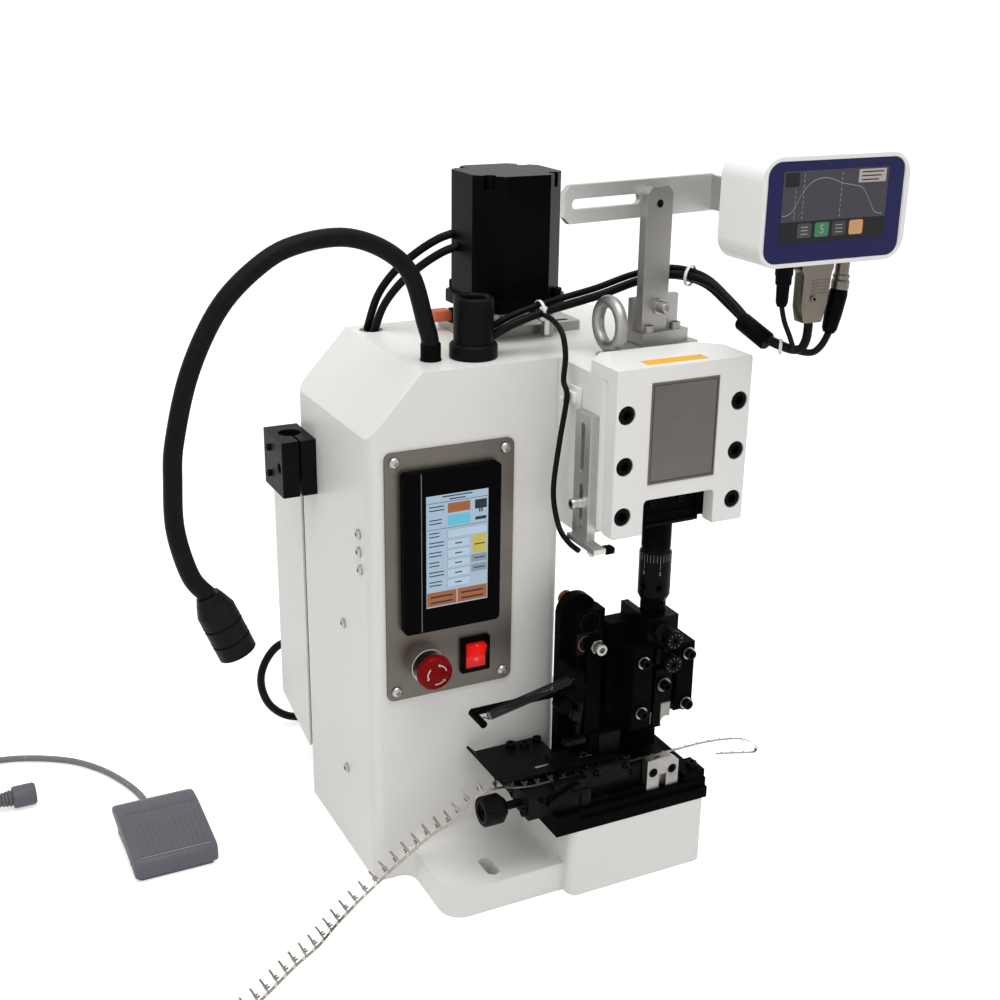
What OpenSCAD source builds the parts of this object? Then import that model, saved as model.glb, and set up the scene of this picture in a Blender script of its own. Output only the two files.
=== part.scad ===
// Bench press for crimping wire terminals from a strip, with its applicator, force monitor, work lamp
// and foot pedal. Millimetres. X to the right, Y to the back, Z up from the bench. The origin is on the
// ram axis at bench level.

/* [Frame] */
// Height of the casting over the bench
frame_h = 441.4; // [430:0.1:460]
// Width of the column
column_w = 169; // [160:1:180]
// Depth of the column
column_d = 165; // [155:1:175]
// Ram axis back to the column's front face
throat_d = 61; // [58:1:66]
// Ram axis left to the column's right face
throat_w = 54.7; // [53:0.1:58]
// Radius of the casting's upright edges
edge_r = 9; // [5:0.5:11]
// Width of the slope on the column's top left
slope_w = 45.7; // [40:0.1:48]
// Height of that slope
slope_h = 49.4; // [40:0.1:52]
// Width of the head
head_w = 121; // [118:1:126]
// Head casting in front of the ram axis
head_front = 15.3; // [14.5:0.1:18]
// Height of the head's underside
head_low = 306; // [302:1:309]
// Radius under the head
head_fillet = 18; // [8:1:24]
// Bed left of the ram axis
bed_left = 84.9; // [80:0.1:90]
// Bed right of the ram axis
bed_right = 47.1; // [45:0.1:52]
// Bed in front of the ram axis
bed_front = 28; // [27:0.5:32]
// Height of the bed
bed_h = 62; // [55:1:64]
// Thickness of the foot
foot_t = 26; // [20:1:30]
// Foot in front of the ram axis
foot_front = 15.3; // [10:0.1:20]
// Radius of the foot's front corner
foot_r = 19; // [14:1:22]
// Foot corner's centre, left of the ram axis
foot_corner = 172; // [165:1:178]
// Length of the bolting slot
slot_l = 25; // [20:1:30]
// Width of the bolting slot
slot_w = 11; // [9:1:13]
// Slot's centre left of the ram axis
slot_x = 143.6; // [135:0.1:150]
// Slot's centre behind the ram axis
slot_y = 7.1; // [5:0.1:12]
// Wall of the casting
wall = 9; // [7:0.5:10]

/* [Head cover] */
// Thickness of the cover in front of the head
cover_t = 13.2; // [12:0.1:15]
// Height of the cover's lower edge
cover_low = 318; // [314:1:322]
// Thickness of the lip over the head
lip_t = 10.3; // [8:0.1:12]
// Reach of the lip behind the ram axis
lip_back = 27; // [22:1:29]
// Corner cut of the lip
lip_cut = 17; // [8:1:20]
// Width of the notch for the ram
notch_w = 65; // [60:1:70]
// Height of the notch
notch_h = 28.3; // [24:0.1:32]
// Cover screws, left and right of the axis
screw_x = 50.8; // [49:0.1:52]
// Pitch of the cover screws
screw_pitch = 40.6; // [36:0.1:42]
// Lowest cover screw over the cover's edge
screw_low = 17.5; // [14:0.1:22]
// Head diameter of the cover screws
screw_head = 13; // [12:0.5:14]
// Shank diameter of the cover screws
screw_shank = 8; // [6:1:9]

/* [Rear cover] */
// Depth of the box behind the column
box_d = 78; // [60:1:90]
// Top of the box
box_top = 330; // [322:1:340]
// Lower edge of the box at its back
box_low = 66; // [60:1:75]
// Drop of its sloping floor towards the column
box_drop = 20; // [10:1:24]
// Sheet thickness
sheet = 2; // [1.5:0.1:3]

/* [Control panel] */
// Width of the panel plate
panel_w = 111.1; // [108:0.1:114]
// Height of the panel plate
panel_h = 212; // [208:1:216]
// Panel's left edge in from the column's
panel_in = 12.5; // [10:0.1:14]
// Panel's lower edge over the bench
panel_low = 169.4; // [160:0.1:172]
// Corner radius of the panel
panel_r = 6; // [3:0.5:9]
// Panel screws in from the edges
panel_inset = 8; // [6:0.5:9]
// Width of the touchscreen's bezel
touch_w = 84; // [80:1:88]
// Height of the touchscreen's bezel
touch_h = 136; // [132:1:140]
// Touchscreen's top below the panel's
touch_down = 16.4; // [15.5:0.1:18]
// Thickness of the bezel
touch_t = 7; // [5:0.5:9]
// Width of the display
lcd_w = 53.9; // [52:0.1:56]
// Height of the display
lcd_h = 95; // [92:0.1:98]
// Depth of the touchscreen behind the panel
touch_back = 26; // [20:1:30]

/* [Switches] */
// Height of the switches over the panel's lower edge
switch_up = 29.1; // [27:0.1:31]
// Stop button in from the panel's left edge
stop_in = 33.2; // [30:0.1:36]
// Diameter of the stop button
stop_d = 30; // [26:1:32]
// Diameter of its collar
collar_d = 28.5; // [26:0.5:31]
// Travel of the stop button
stop_travel = 4; // [3:0.5:5]
// Rocker in from the panel's right edge
rocker_in = 34; // [32:0.5:36]
// Width of the rocker's frame
rocker_w = 25.8; // [24:0.2:28]
// Height of the rocker's frame
rocker_h = 31; // [29:0.5:33]
// Tilt of the rocker each way
rocker_tilt = 9; // [6:1:10]

/* [Reel block] */
// Width of the block
reel_w = 30; // [28:1:34]
// Depth of the block
reel_d = 50; // [46:1:54]
// Height of the block
reel_h = 48.5; // [44:0.5:52]
// Block's lower face over the bench
reel_low = 311.5; // [300:0.5:320]
// Block's back face behind the column's back
reel_in = 4; // [1:1:8]
// Diameter of its bore
reel_bore = 19.5; // [16:0.5:21]

/* [Motor] */
// Motor axis left of the ram axis
motor_x = 62; // [60:1:63]
// Motor axis behind the ram axis
motor_y = 156; // [152:1:160]
// Width of the motor's body
motor_w = 80; // [76:1:82]
// Width of its flange
flange_w = 86; // [84:1:90]
// Corner cut of the motor
motor_cut = 20; // [14:1:22]
// Underside of the flange over the casting
motor_gap = 25.6; // [24:0.1:30]
// Thickness of the flange
flange_t = 10; // [8:1:12]
// Height of the motor over its flange
motor_h = 71; // [60:1:80]
// Height of the end cap
cap_h = 28; // [24:1:32]
// Thickness of the plate under the motor
mount_t = 8; // [6:1:10]
// Length of that plate
mount_l = 106; // [98:1:112]
// Width of that plate
mount_w = 62; // [58:1:66]
// Diameter of the posts
post_d = 10; // [8:1:12]
// Diameter of the motor shaft
motor_shaft = 14; // [10:1:16]

/* [Drive] */
// Height of the crank axis
crank_z = 375; // [372:1:378]
// Half the ram's stroke
throw = 15; // [12:0.5:15]
// Diameter of the crank pin
pin_d = 20; // [17:1:21]
// Diameter of the crankshaft
shaft_d = 30; // [26:1:32]
// Diameter of its rear end
tail_d = 28; // [22:1:29]
// Diameter of the crank disc
disc_d = 54; // [50.5:0.5:58]
// Outer diameter of the bearings
bearing_d = 55; // [48:1:58]
// Width of a bearing
bearing_w = 13; // [10:1:15]
// Depth of the space for the slide behind the ram axis
slide_room = 38; // [37:0.5:40]
// Half width of that space
room_half = 34; // [33:0.5:36]
// Front of the gear chamber behind the ram axis
gear_y = 95; // [92:1:98]
// Floor of the gear chamber
gear_low = 322; // [318:1:323]
// Roof thickness of the casting
roof_t = 11; // [9:0.5:11.5]
// Diameter of the worm wheel's housing
wheel_d = 98; // [90:1:102]
// Diameter of the worm's housing
worm_d = 56; // [50:1:58]

/* [Slide] */
// Half width of the slide
slide_half = 30; // [28:0.5:30.4]
// Height of the slide
slide_h = 103; // [98:1:106]
// Lower face of the slide at the top of the stroke
slide_low = 316; // [314:0.5:318]
// Front of the slide before the ram axis
slide_front = 12; // [10:0.5:13]
// Back of the slide behind the ram axis
slide_back = 26; // [24:0.5:27]
// Diameter of the post under the slide
post_dia = 24; // [20:1:25]

/* [Shut-height dial] */
// Diameter of the dial
dial_d = 26.4; // [25:0.2:31]
// Top of the dial
dial_top = 293.6; // [290:0.1:297]
// Lower end of the dial
dial_low = 245.3; // [243:0.1:248]
// Diameter of the stem
stem_d = 12; // [10:1:14]
// Diameter of the tommy-bar holes
tommy_d = 5.5; // [3:0.5:6]
// Diameter of the button under the applicator's lips
button_d = 20; // [17:0.5:20.5]
// Thickness of the button
button_t = 8; // [6:0.5:9]

/* [Applicator] */
// Thickness of the base plate
base_t = 17.5; // [14:0.5:20]
// Base plate left of the ram axis
base_left = 99.4; // [95:0.1:104]
// Base plate right of the ram axis
base_right = 47.5; // [46:0.1:52]
// Depth of the base plate
base_d = 86; // [80:1:88]
// Top of the applicator frame
body_top = 213; // [210:1:214]
// Underside of the applicator frame
body_low = 148; // [144:1:152]
// Frame left of the ram axis
body_left = 30; // [29:0.5:34]
// Frame right of the ram axis
body_right = 28; // [27:0.5:32]
// Back of the frame
body_back = 50; // [46:1:56]
// Half width of the ram
ram_half = 14.5; // [13:0.1:15]
// Front of the ram before its axis
ram_front = 17; // [16:0.1:18]
// Back of the ram behind its axis
ram_back = 26; // [22:0.5:28]
// Top of the ram
ram_top = 237; // [236:0.2:239]
// Lower end of the ram
ram_low = 150; // [146:1:156]
// Thickness of the gib plates
gib_t = 6.2; // [5:0.2:7]
// Half the gap between the gib plates
gib_gap = 12; // [11:0.2:13]
// Lower end of the left gib plate
gib_low = 143; // [141:1:148]
// Gib screws, left and right of the axis
gib_screw_x = 21.6; // [20.5:0.1:22]
// Upper gib screws
gib_screw_hi = 203.5; // [200:0.5:205]
// Lower gib screws
gib_screw_lo = 157.6; // [157:0.1:162]
// Half width of the crimper
crimper_half = 8; // [6:0.5:9]
// Lower end of the crimper at the top of the stroke
crimper_low = 139.5; // [138.5:0.5:144]
// Thickness of the crimper
crimper_t = 5; // [4:0.5:6]
// Crimper screw's height
crimper_screw = 178.5; // [174:0.5:184]

/* [Crimp dials] */
// Height of the wire dial
wire_z = 223.5; // [222:0.5:226]
// Height of the insulation dial
insul_z = 202; // [201:0.5:204]
// Diameter of the dials
knob_d = 17.5; // [15:0.5:18]
// Length of the dials
knob_l = 18.7; // [16:0.1:20]

/* [Anvil] */
// Left side of the anvil block from the ram axis
anvil_left = 10.5; // [9:0.5:13]
// Right side of the anvil block
anvil_right = 20.4; // [18:0.2:22]
// Front of the anvil block before the axis
anvil_front = 22; // [21:0.5:24]
// Back of the anvil block behind the axis
anvil_back = 14; // [10:1:16]
// Top of the anvil block
anvil_top = 108.5; // [104:0.1:109]

/* [Track] */
// Track block's left end
track_left = 122; // [118:1:126]
// Track block's front before the axis
track_front = 20; // [18:0.5:21]
// Top of the track
track_top = 101; // [99:0.5:103]
// Depth of the track under the guide plate
track_d = 75; // [70:1:76]
// Left edge of the guide plate
guide_left = 133; // [128:1:138]
// Back of the guide plate
guide_back = 58; // [54:1:60]
// Thickness of the guide plate
guide_t = 2; // [1.5:0.1:3]
// Height of the guide plate's underside over the track
guide_up = 3; // [2.5:0.5:4]
// Diameter of the thumb knob
thumb_d = 25; // [22:1:28]
// Length of the thumb knob
thumb_l = 18; // [14:1:22]
// Thumb knob's face left of the ram axis
thumb_x = 157; // [152:1:160]
// Height of the thumb knob's axis
thumb_z = 88; // [87:0.5:90]
// Thumb knob's axis before the ram axis
thumb_y = 4; // [2:0.5:6]
// Diameter of its shaft
thumb_shaft = 7; // [5:0.5:8]

/* [Feed] */
// Left edge of the feed plate from the ram axis
feed_left = 72; // [70:0.5:74]
// Width of the feed plate
feed_w = 34; // [30:0.5:36]
// Front of the feed plate behind the ram axis
feed_y = 26; // [25.5:0.5:28]
// Thickness of the feed plate
feed_t = 9; // [7:0.5:10]
// Top of the feed plate
feed_top = 250; // [244:1:256]
// Height of the feed lever's pivot
pivot_z = 212; // [208:1:216]
// Pivot left of the ram axis
pivot_x = 50; // [48:0.5:52]
// Diameter of the pivot
pivot_d = 8; // [6:0.5:9]
// Diameter of the spring's rod
rod_d = 6; // [4:0.5:7]
// Wire of the return spring
spring_wire = 1; // [0.8:0.1:1.2]
// Outer diameter of the return spring
spring_d = 8; // [7:0.5:9]
// Turns of the return spring
spring_turns = 34; // [20:1:40]

/* [Lamp and socket] */
// Diameter of the flexible neck
neck_d = 14; // [12:0.5:16]
// Diameter of the lamp head
lamp_d = 29.5; // [26:0.5:32]
// Length of the lamp head
lamp_l = 52; // [44:1:58]
// Diameter of the tube socket
tube_d = 32; // [30:0.5:34]
// Bore of the tube socket
tube_bore = 21; // [18:0.5:24]
// Diameter of the tube's collar
tube_collar = 38.5; // [36:0.5:42]
// Height of the collar
collar_h = 12; // [10:1:14]
// Height of the tube over the casting
tube_h = 48.6; // [44:0.1:54]
// Tube axis left of the ram axis
tube_x = 122; // [118:1:126]
// Tube axis behind the ram axis
tube_y = 90; // [86:1:94]
// Outer diameter of the lifting eye
eye_d = 46; // [42:1:50]
// Bar of the lifting eye
eye_bar = 10; // [8:0.5:11]

/* [Monitor] */
// Yaw of the bracket
bracket_yaw = 8; // [4:1:10]
// Width of the bracket's foot
bracket_w = 55; // [52:1:58]
// Depth of the bracket's foot
bracket_d = 35; // [32:1:38]
// Thickness of the bracket's foot
bracket_t = 8; // [6:0.5:10]
// Width of the upright
upright_w = 26; // [22:1:30]
// Thickness of the upright
upright_t = 8; // [6:0.5:9]
// Top of the upright
upright_top = 573; // [566:1:580]
// Height of the arm
arm_h = 29; // [26:1:32]
// Thickness of the arm
arm_t = 5; // [4:0.5:6]
// Width of the monitor
monitor_w = 132; // [126:1:136]
// Height of the monitor
monitor_h = 78; // [74:1:82]
// Depth of the monitor
monitor_d = 50; // [44:1:54]
// Corner radius of the monitor
monitor_r = 17; // [12:1:20]
// Centre of the monitor right of the ram axis
monitor_x = 85; // [80:1:90]
// Centre height of the monitor
monitor_z = 569; // [566:1:572]
// Front of the monitor before the ram axis
monitor_y = 80; // [76:1:84]

/* [Pedal] */
// Width of the pedal
pedal_w = 72; // [66:1:78]
// Depth of the pedal
pedal_d = 90; // [84:1:96]
// Height of the pedal's front
pedal_lo = 20; // [18:1:23]
// Height of the pedal's back
pedal_hi = 30; // [27:1:34]
// Pedal's centre left of the ram axis
pedal_x = 372; // [368:1:378]
// Pedal's front behind the ram axis
pedal_y = 144; // [138:1:150]

/* [Cords] */
// Diameter of the mains cord
mains_d = 8; // [7:0.5:8]
// Diameter of the pedal cord
pcord_d = 6; // [5:0.5:6]

/* [Hidden] */
$fn = 48;
// overrun of every cut
over = 1;
// radial clearance of a turning fit
run = 0.05;
// gap between sliding flat faces
slip = 0.3;
// radial gap round a fixed screw or stud
seat = 0.1;

// spans of the main pieces
col_x = [-throat_w - column_w, -throat_w];
col_y = [throat_d, throat_d + column_d];
head_x = [-head_w / 2, head_w / 2];
back = col_y[1];
bed_x = [-bed_left, bed_right];
roof = frame_h - roof_t;
gear_x = [-motor_x - worm_d / 2 - seat * 10, wheel_d / 2 + seat * 10];
panel_x = [col_x[0] + panel_in, col_x[0] + panel_in + panel_w];
panel_z = [panel_low, panel_low + panel_h];
panel_y = throat_d - sheet;
touch_mid = panel_x[0] + touch_w / 2 + panel_in;
touch_z = [panel_z[1] - touch_down - touch_h, panel_z[1] - touch_down];
touch_x = [touch_mid - touch_w / 2, touch_mid + touch_w / 2];
switch_z = panel_low + switch_up;
stop_x = panel_x[0] + stop_in;
rocker_x = panel_x[1] - rocker_in;
mot = [-motor_x, motor_y];
flange_z = frame_h + motor_gap;
base_top = bed_h + base_t;

module slab(x, y, z) translate([x[0], y[0], z[0]]) cube([x[1] - x[0], y[1] - y[0], z[1] - z[0]]);
module rod_x(d, x, y, z) translate([x[0], y, z]) rotate([0, 90, 0]) cylinder(d = d, h = x[1] - x[0]);
module rod_y(d, x, y, z) translate([x, y[1], z]) rotate([90, 0, 0]) cylinder(d = d, h = y[1] - y[0]);
module rod_z(d, x, y, z) translate([x, y, z[0]]) cylinder(d = d, h = z[1] - z[0]);
module prism_x(pts, x) translate([x[0], 0, 0]) rotate([90, 0, 90]) linear_extrude(x[1] - x[0]) polygon(pts);
module prism_y(pts, y) translate([0, y[1], 0]) rotate([90, 0, 0]) linear_extrude(y[1] - y[0]) polygon(pts);
module prism_z(pts, z) translate([0, 0, z[0]]) linear_extrude(z[1] - z[0]) polygon(pts);
module rrect(x, y, r) {
  translate([x[0] + r, y[0]]) square([x[1] - x[0] - 2 * r, y[1] - y[0]]);
  translate([x[0], y[0] + r]) square([x[1] - x[0], y[1] - y[0] - 2 * r]);
  for (u = [x[0] + r, x[1] - r], v = [y[0] + r, y[1] - r]) translate([u, v]) circle(r);
}
module pad_z(x, y, z, r) translate([0, 0, z[0]]) linear_extrude(z[1] - z[0]) rrect(x, y, r);
module pad_y(x, y, z, r) translate([0, y[1], 0]) rotate([90, 0, 0]) linear_extrude(y[1] - y[0]) rrect(x, z, r);
module pad_x(x, y, z, r) translate([x[0], 0, 0]) rotate([90, 0, 90]) linear_extrude(x[1] - x[0]) rrect(y, z, r);
// socket screw along Y, head in front; y = face under the head
module cap_screw_y(x, y, z, head, shank, l) difference() {
  union() {
    rod_y(head, x, [y - shank, y], z);
    rod_y(shank, x, [y - shank / 2, y + l], z);
  }
  translate([x, y - shank * 0.45, z]) rotate([90, 0, 0]) cylinder(d = head * 0.62, h = shank, $fn = 6);
}
// socket screw along Z, head up; z = face under the head
module cap_screw_z(x, y, z, head, shank, l) difference() {
  union() {
    rod_z(head, x, y, [z, z + shank]);
    rod_z(shank, x, y, [z - l, z + shank / 2]);
  }
  translate([x, y, z + shank * 0.45]) cylinder(d = head * 0.62, h = shank, $fn = 6);
}
// concave fillet along X between a floor at z and a wall face at y, on the wall's front side
module cove_x(x, y, z, r) difference() {
  slab(x, [y - r, y + over], [z - over, z + r]);
  rod_x(2 * r, [x[0] - over, x[1] + over], y - r, z + r);
}
function octagon(w, cut, cx, cy) = [for (q = [[-1, -1, 0], [-1, -1, 1], [1, -1, 0], [1, -1, 1], [1, 1, 0],
  [1, 1, 1], [-1, 1, 0], [-1, 1, 1]]) let (a = w / 2, b = w / 2 - cut, k = q[0] * q[1] > 0 ? q[2] : 1 - q[2])
  [cx + q[0] * (k == 0 ? a : b), cy + q[1] * (k == 0 ? b : a)]];

// round tube along points: a ring at every point, turned with the path
function unit(v) = v / norm(v);
function heading(p, i) = unit(p[min(i + 1, len(p) - 1)] - p[max(i - 1, 0)]);
function carry(n, t) = unit(n - (n * t) * t);
function sides_of(p, i, n) = i == len(p) ? [] :
  let (m = carry(n, heading(p, i))) concat([m], sides_of(p, i + 1, m));
function start_side(t) = carry(abs(t[2]) < 0.8 ? [0, 0, 1] : [1, 0, 0], t);
module tube(p, d, n) {
  k = len(p);
  s = sides_of(p, 0, start_side(heading(p, 0)));
  pts = [for (i = [0:k - 1]) let (t = heading(p, i), u = s[i], v = cross(t, u)) for (j = [0:n - 1])
    p[i] + d / 2 * (cos(360 * j / n) * u + sin(360 * j / n) * v)];
  faces = concat([[for (j = [n - 1:-1:0]) j]], [[for (j = [0:n - 1]) (k - 1) * n + j]],
    [for (i = [0:k - 2], j = [0:n - 1]) [i * n + j, i * n + (j + 1) % n, (i + 1) * n + j]],
    [for (i = [0:k - 2], j = [0:n - 1]) [i * n + (j + 1) % n, (i + 1) * n + (j + 1) % n, (i + 1) * n + j]]);
  polyhedron(pts, [for (f = faces) [for (q = [len(f) - 1:-1:0]) f[q]]]);
}
// smooth run through hand-chosen points, m steps a span
function bend(p, m) = let (k = len(p) - 1) concat([for (i = [0:k - 1], j = [0:m - 1])
  let (a = p[max(i - 1, 0)], b = p[i], c = p[i + 1], e = p[min(i + 2, k)], t = j / m)
  0.5 * (2 * b + (c - a) * t + (2 * a - 5 * b + 4 * c - e) * t * t + (3 * b - a - 3 * c + e) * t * t * t)], [p[k]]);

// ---- frame ----
foot_c = [-foot_corner, foot_r - foot_front];
foot_side = foot_c[0] - foot_r * 0.999;
foot_cove = 12;
module column_solid() intersection() {
  pad_z(col_x, col_y, [0, frame_h], edge_r);
  prism_y([[col_x[0], 0], [col_x[1], 0], [col_x[1], frame_h], [col_x[0] + slope_w, frame_h],
    [col_x[0], frame_h - slope_h]], [col_y[0] - over, col_y[1] + over]);
}
module casting_outside() {
  column_solid();
  pad_z(head_x, [-head_front, back], [head_low, frame_h], edge_r);
  pad_z(bed_x, [-bed_front, back], [0, bed_h], edge_r);
  linear_extrude(foot_t) {
    polygon([[foot_side, col_y[0] + edge_r], [foot_side, foot_c[1]], foot_c, [foot_c[0] + over, -foot_front],
      [bed_x[0] + edge_r, -foot_front], [bed_x[0] + edge_r, col_y[0] + edge_r]]);
    translate(foot_c) circle(foot_r);
  }
  cove_x([foot_side + edge_r * 0.4, bed_x[0] + edge_r], col_y[0], foot_t, edge_r * 1.6);
  // fillet in plan between the foot and the column
  difference() {
    slab([foot_side - foot_cove, foot_side + edge_r * 0.5], [col_y[0] - foot_cove, col_y[0] + edge_r], [0, foot_t]);
    rod_z(2 * foot_cove, foot_side - foot_cove, col_y[0] - foot_cove, [-over, foot_t + over]);
  }
  // fillet from the foot up to the bed's left side
  difference() {
    slab([bed_x[0] - edge_r, bed_x[0] + edge_r], [edge_r - foot_front, col_y[0] + edge_r], [foot_t - over, foot_t + edge_r]);
    rod_y(2 * edge_r, bed_x[0] - edge_r, [-foot_front, back], foot_t + edge_r);
  }
  // fillet under the head against the column
  difference() {
    slab([col_x[1] - over, col_x[1] + head_fillet], [col_y[0] + edge_r, back - edge_r], [head_low - head_fillet, head_low + over]);
    rod_y(2 * head_fillet, col_x[1] + head_fillet, col_y, head_low - head_fillet);
  }
}
module panel_holes(r) for (x = [panel_x[0] + panel_inset, panel_x[1] - panel_inset],
  z = [panel_z[0] + panel_inset, panel_z[1] - panel_inset])
  rod_y(2 * r, x, [panel_y - over, throat_d + wall * 0.8], z);
touch_lip = 6;
stop_shank = 22;
rocker_lip = 2.4;
cable_d = 20;
cable_hole = [-162, 208];
cable_at_shares = [0.365, 0.891];
module frame_casting() color("whitesmoke") difference() {
  casting_outside();
  // space for the electrics, open to the back
  slab([col_x[0] + wall, col_x[1] - wall], [col_y[0] + wall, back + over], [wall, gear_low - wall]);
  slab([col_x[0] + wall, gear_x[0] - wall], [col_y[0] + wall, back + over], [wall, frame_h - slope_h - wall]);
  // the head's front is shorter than its back
  slab([head_x[0] - over, head_x[1] + over], [-head_front - over, lip_back - wall], [head_low - over, front_low]);
  // windows behind the panel
  slab([touch_x[0] + touch_lip, touch_x[1] - touch_lip], [col_y[0] - over, col_y[0] + wall + over],
    [touch_z[0] + touch_lip, touch_z[1] - touch_lip]);
  rod_y(stop_shank + 10 * seat, stop_x, [col_y[0] - over, col_y[0] + wall + over], switch_z);
  slab([rocker_x - rocker_w / 2 + rocker_lip, rocker_x + rocker_w / 2 - rocker_lip],
    [col_y[0] - over, col_y[0] + wall + over],
    [switch_z - rocker_h / 2 + rocker_lip, switch_z + rocker_h / 2 - rocker_lip]);
  panel_holes(panel_screw / 2 + seat);
  // gear chamber, open to the back
  slab(gear_x, [gear_y, back + over], [gear_low, roof]);
  // space for the slide, open in front and below
  slab([-room_half, room_half], [-head_front - over, slide_room], [head_low - over, roof]);
  // bearing seats and the bore between them
  for (y = [[slide_room - over, slide_room + bearing_w + 2], [gear_y - bearing_w - 2, gear_y + over]])
    rod_y(bearing_d + 2 * seat, 0, y, crank_z);
  rod_y(bearing_d - 8, 0, [slide_room, gear_y], crank_z);
  // motor neck, motor leads, lamp neck, lifting eye
  rod_z(neck_hole, mot[0], mot[1], [roof - over, frame_h + over]);
  rod_z(cable_d, col_x[0] + cable_at_shares[0] * column_w, col_y[0] + cable_at_shares[1] * column_d,
    [frame_h - slope_h - wall - over, frame_h + over]);
  rod_z(lamp_stud + 2 * seat, lamp_at[0], lamp_at[1], [frame_h - lamp_stud_l - over, frame_h + over]);
  rod_z(eye_stud + 2 * seat, eye_at[0], eye_at[1], [frame_h - eye_stud_l - over, frame_h + over]);
  for (x = [-screw_x, screw_x], i = [0:2])
    rod_y(screw_shank + 2 * seat, x, [-head_front - over, -head_front + screw_grip + over], cover_low + screw_low + i * screw_pitch);
  // bolting slot in the foot
  pad_z([-slot_x - slot_w / 2, -slot_x + slot_w / 2], [slot_y - slot_l / 2, slot_y + slot_l / 2],
    [-over, foot_t + over], slot_w / 2 - slot_w / 100);
  side_screws(side_shank + 2 * seat, over);
}
side_screw_shares = [[0.138, 0.7016], [0.135, 0.6674], [0.124, 0.6344], [0.38, 0.4885], [0.386, 0.1749]];
side_shank = 4;
side_head = 8.5;
module side_screws(d, extra) for (s = side_screw_shares)
  rod_x(d, [col_x[0] - extra, col_x[0] + wall * 0.7], col_y[0] + s[0] * column_d, s[1] * frame_h);
screw_grip = 14;
front_low = cover_low + over;
neck_hole = 32;

// ---- covers ----
module rear_cover() color("whitesmoke") {
  difference() {
    prism_x([[back, box_low - box_drop], [back + box_d, box_low], [back + box_d, box_top], [back, box_top]], col_x);
    prism_x([[back - over, box_low - box_drop + sheet * 1.2], [back + box_d - sheet, box_low + sheet],
      [back + box_d - sheet, box_top - sheet], [back - over, box_top - sheet]], [col_x[0] + sheet, col_x[1] - sheet]);
    rod_y(gland_thread + 2 * seat, gland_x, [back + box_d - sheet - over, back + box_d + over], gland_z);
  }
  prism_y([[col_x[0] + wall, box_top], [head_x[1] - wall / 2, box_top], [head_x[1] - wall / 2, frame_h - wall / 2],
    [col_x[0] + slope_w, frame_h - wall / 2], [col_x[0] + wall, frame_h - slope_h]], [back, back + sheet]);
  slab([col_x[1] + over, head_x[1] - wall / 2], [back, back + sheet], [head_low + wall / 2, box_top + over]);
  slab([col_x[1] - over, col_x[1] + 2 * over], [back, back + sheet], [head_low + wall / 2, box_top + over]);
}
cover_y = [-head_front - cover_t, -head_front];
cover_top = frame_h + lip_t;
module head_cover() color("white") difference() {
  union() {
    pad_y(head_x, cover_y, [cover_low, cover_top], 1.5);
    prism_z([[head_x[0], cover_y[0] + over], [head_x[1], cover_y[0] + over], [head_x[1], lip_back - lip_cut],
      [head_x[1] - lip_cut, lip_back], [head_x[0] + lip_cut, lip_back], [head_x[0], lip_back - lip_cut]],
      [frame_h, cover_top]);
  }
  pad_y([-notch_w / 2, notch_w / 2], [cover_y[0] - over, cover_y[1] + over], [cover_low - notch_h, cover_low + notch_h], 4);
  for (x = [-screw_x, screw_x], i = [0:2]) {
    rod_y(screw_shank + 1, x, [cover_y[0] - over, cover_y[1] + over], cover_low + screw_low + i * screw_pitch);
    rod_y(screw_head + 2, x, [cover_y[0] - over, cover_y[0] + screw_shank + 0.6], cover_low + screw_low + i * screw_pitch);
  }
}
module socket_screws() color("dimgray") for (x = [-screw_x, screw_x], i = [0:2])
  cap_screw_y(x, cover_y[0] + screw_shank + 0.6, cover_low + screw_low + i * screw_pitch, screw_head, screw_shank,
    cover_t + screw_grip - screw_shank - 0.6);

// ---- control panel ----
panel_screw = 4;
panel_head = 9;
module control_panel() color("silver") difference() {
  pad_y(panel_x, [panel_y, throat_d], panel_z, panel_r);
  slab([touch_x[0] + touch_lip, touch_x[1] - touch_lip], [panel_y - over, throat_d + over],
    [touch_z[0] + touch_lip, touch_z[1] - touch_lip]);
  rod_y(stop_shank + 2 * seat, stop_x, [panel_y - over, throat_d + over], switch_z);
  slab([rocker_x - rocker_w / 2 + rocker_lip, rocker_x + rocker_w / 2 - rocker_lip], [panel_y - over, throat_d + over],
    [switch_z - rocker_h / 2 + rocker_lip, switch_z + rocker_h / 2 - rocker_lip]);
  panel_holes(panel_screw / 2 + seat);
}
// low round head with a cross or socket recess
module pan_head(head, h) difference() {
  rotate_extrude() polygon([[0, 0], [head / 2, 0], [head / 2, h * 0.4], [head * 0.4, h * 0.8], [head * 0.25, h], [0, h]]);
  translate([0, 0, h * 0.4]) cylinder(d = head * 0.45, h = h, $fn = 6);
}
module pan_head_screws() color("silver") {
  for (x = [panel_x[0] + panel_inset, panel_x[1] - panel_inset], z = [panel_z[0] + panel_inset, panel_z[1] - panel_inset]) {
    translate([x, panel_y, z]) rotate([90, 0, 0]) pan_head(panel_head, panel_screw * 0.8);
    rod_y(panel_screw, x, [panel_y - panel_screw * 0.2, throat_d + wall * 0.7], z);
  }
  for (s = side_screw_shares) translate([col_x[0], col_y[0] + s[0] * column_d, s[1] * frame_h]) {
    rotate([0, -90, 0]) pan_head(side_head, side_shank * 0.7);
    rotate([0, 90, 0]) translate([0, 0, -side_shank * 0.2]) cylinder(d = side_shank, h = wall * 0.6);
  }
}
lcd_in_share = 0.226;
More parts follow.
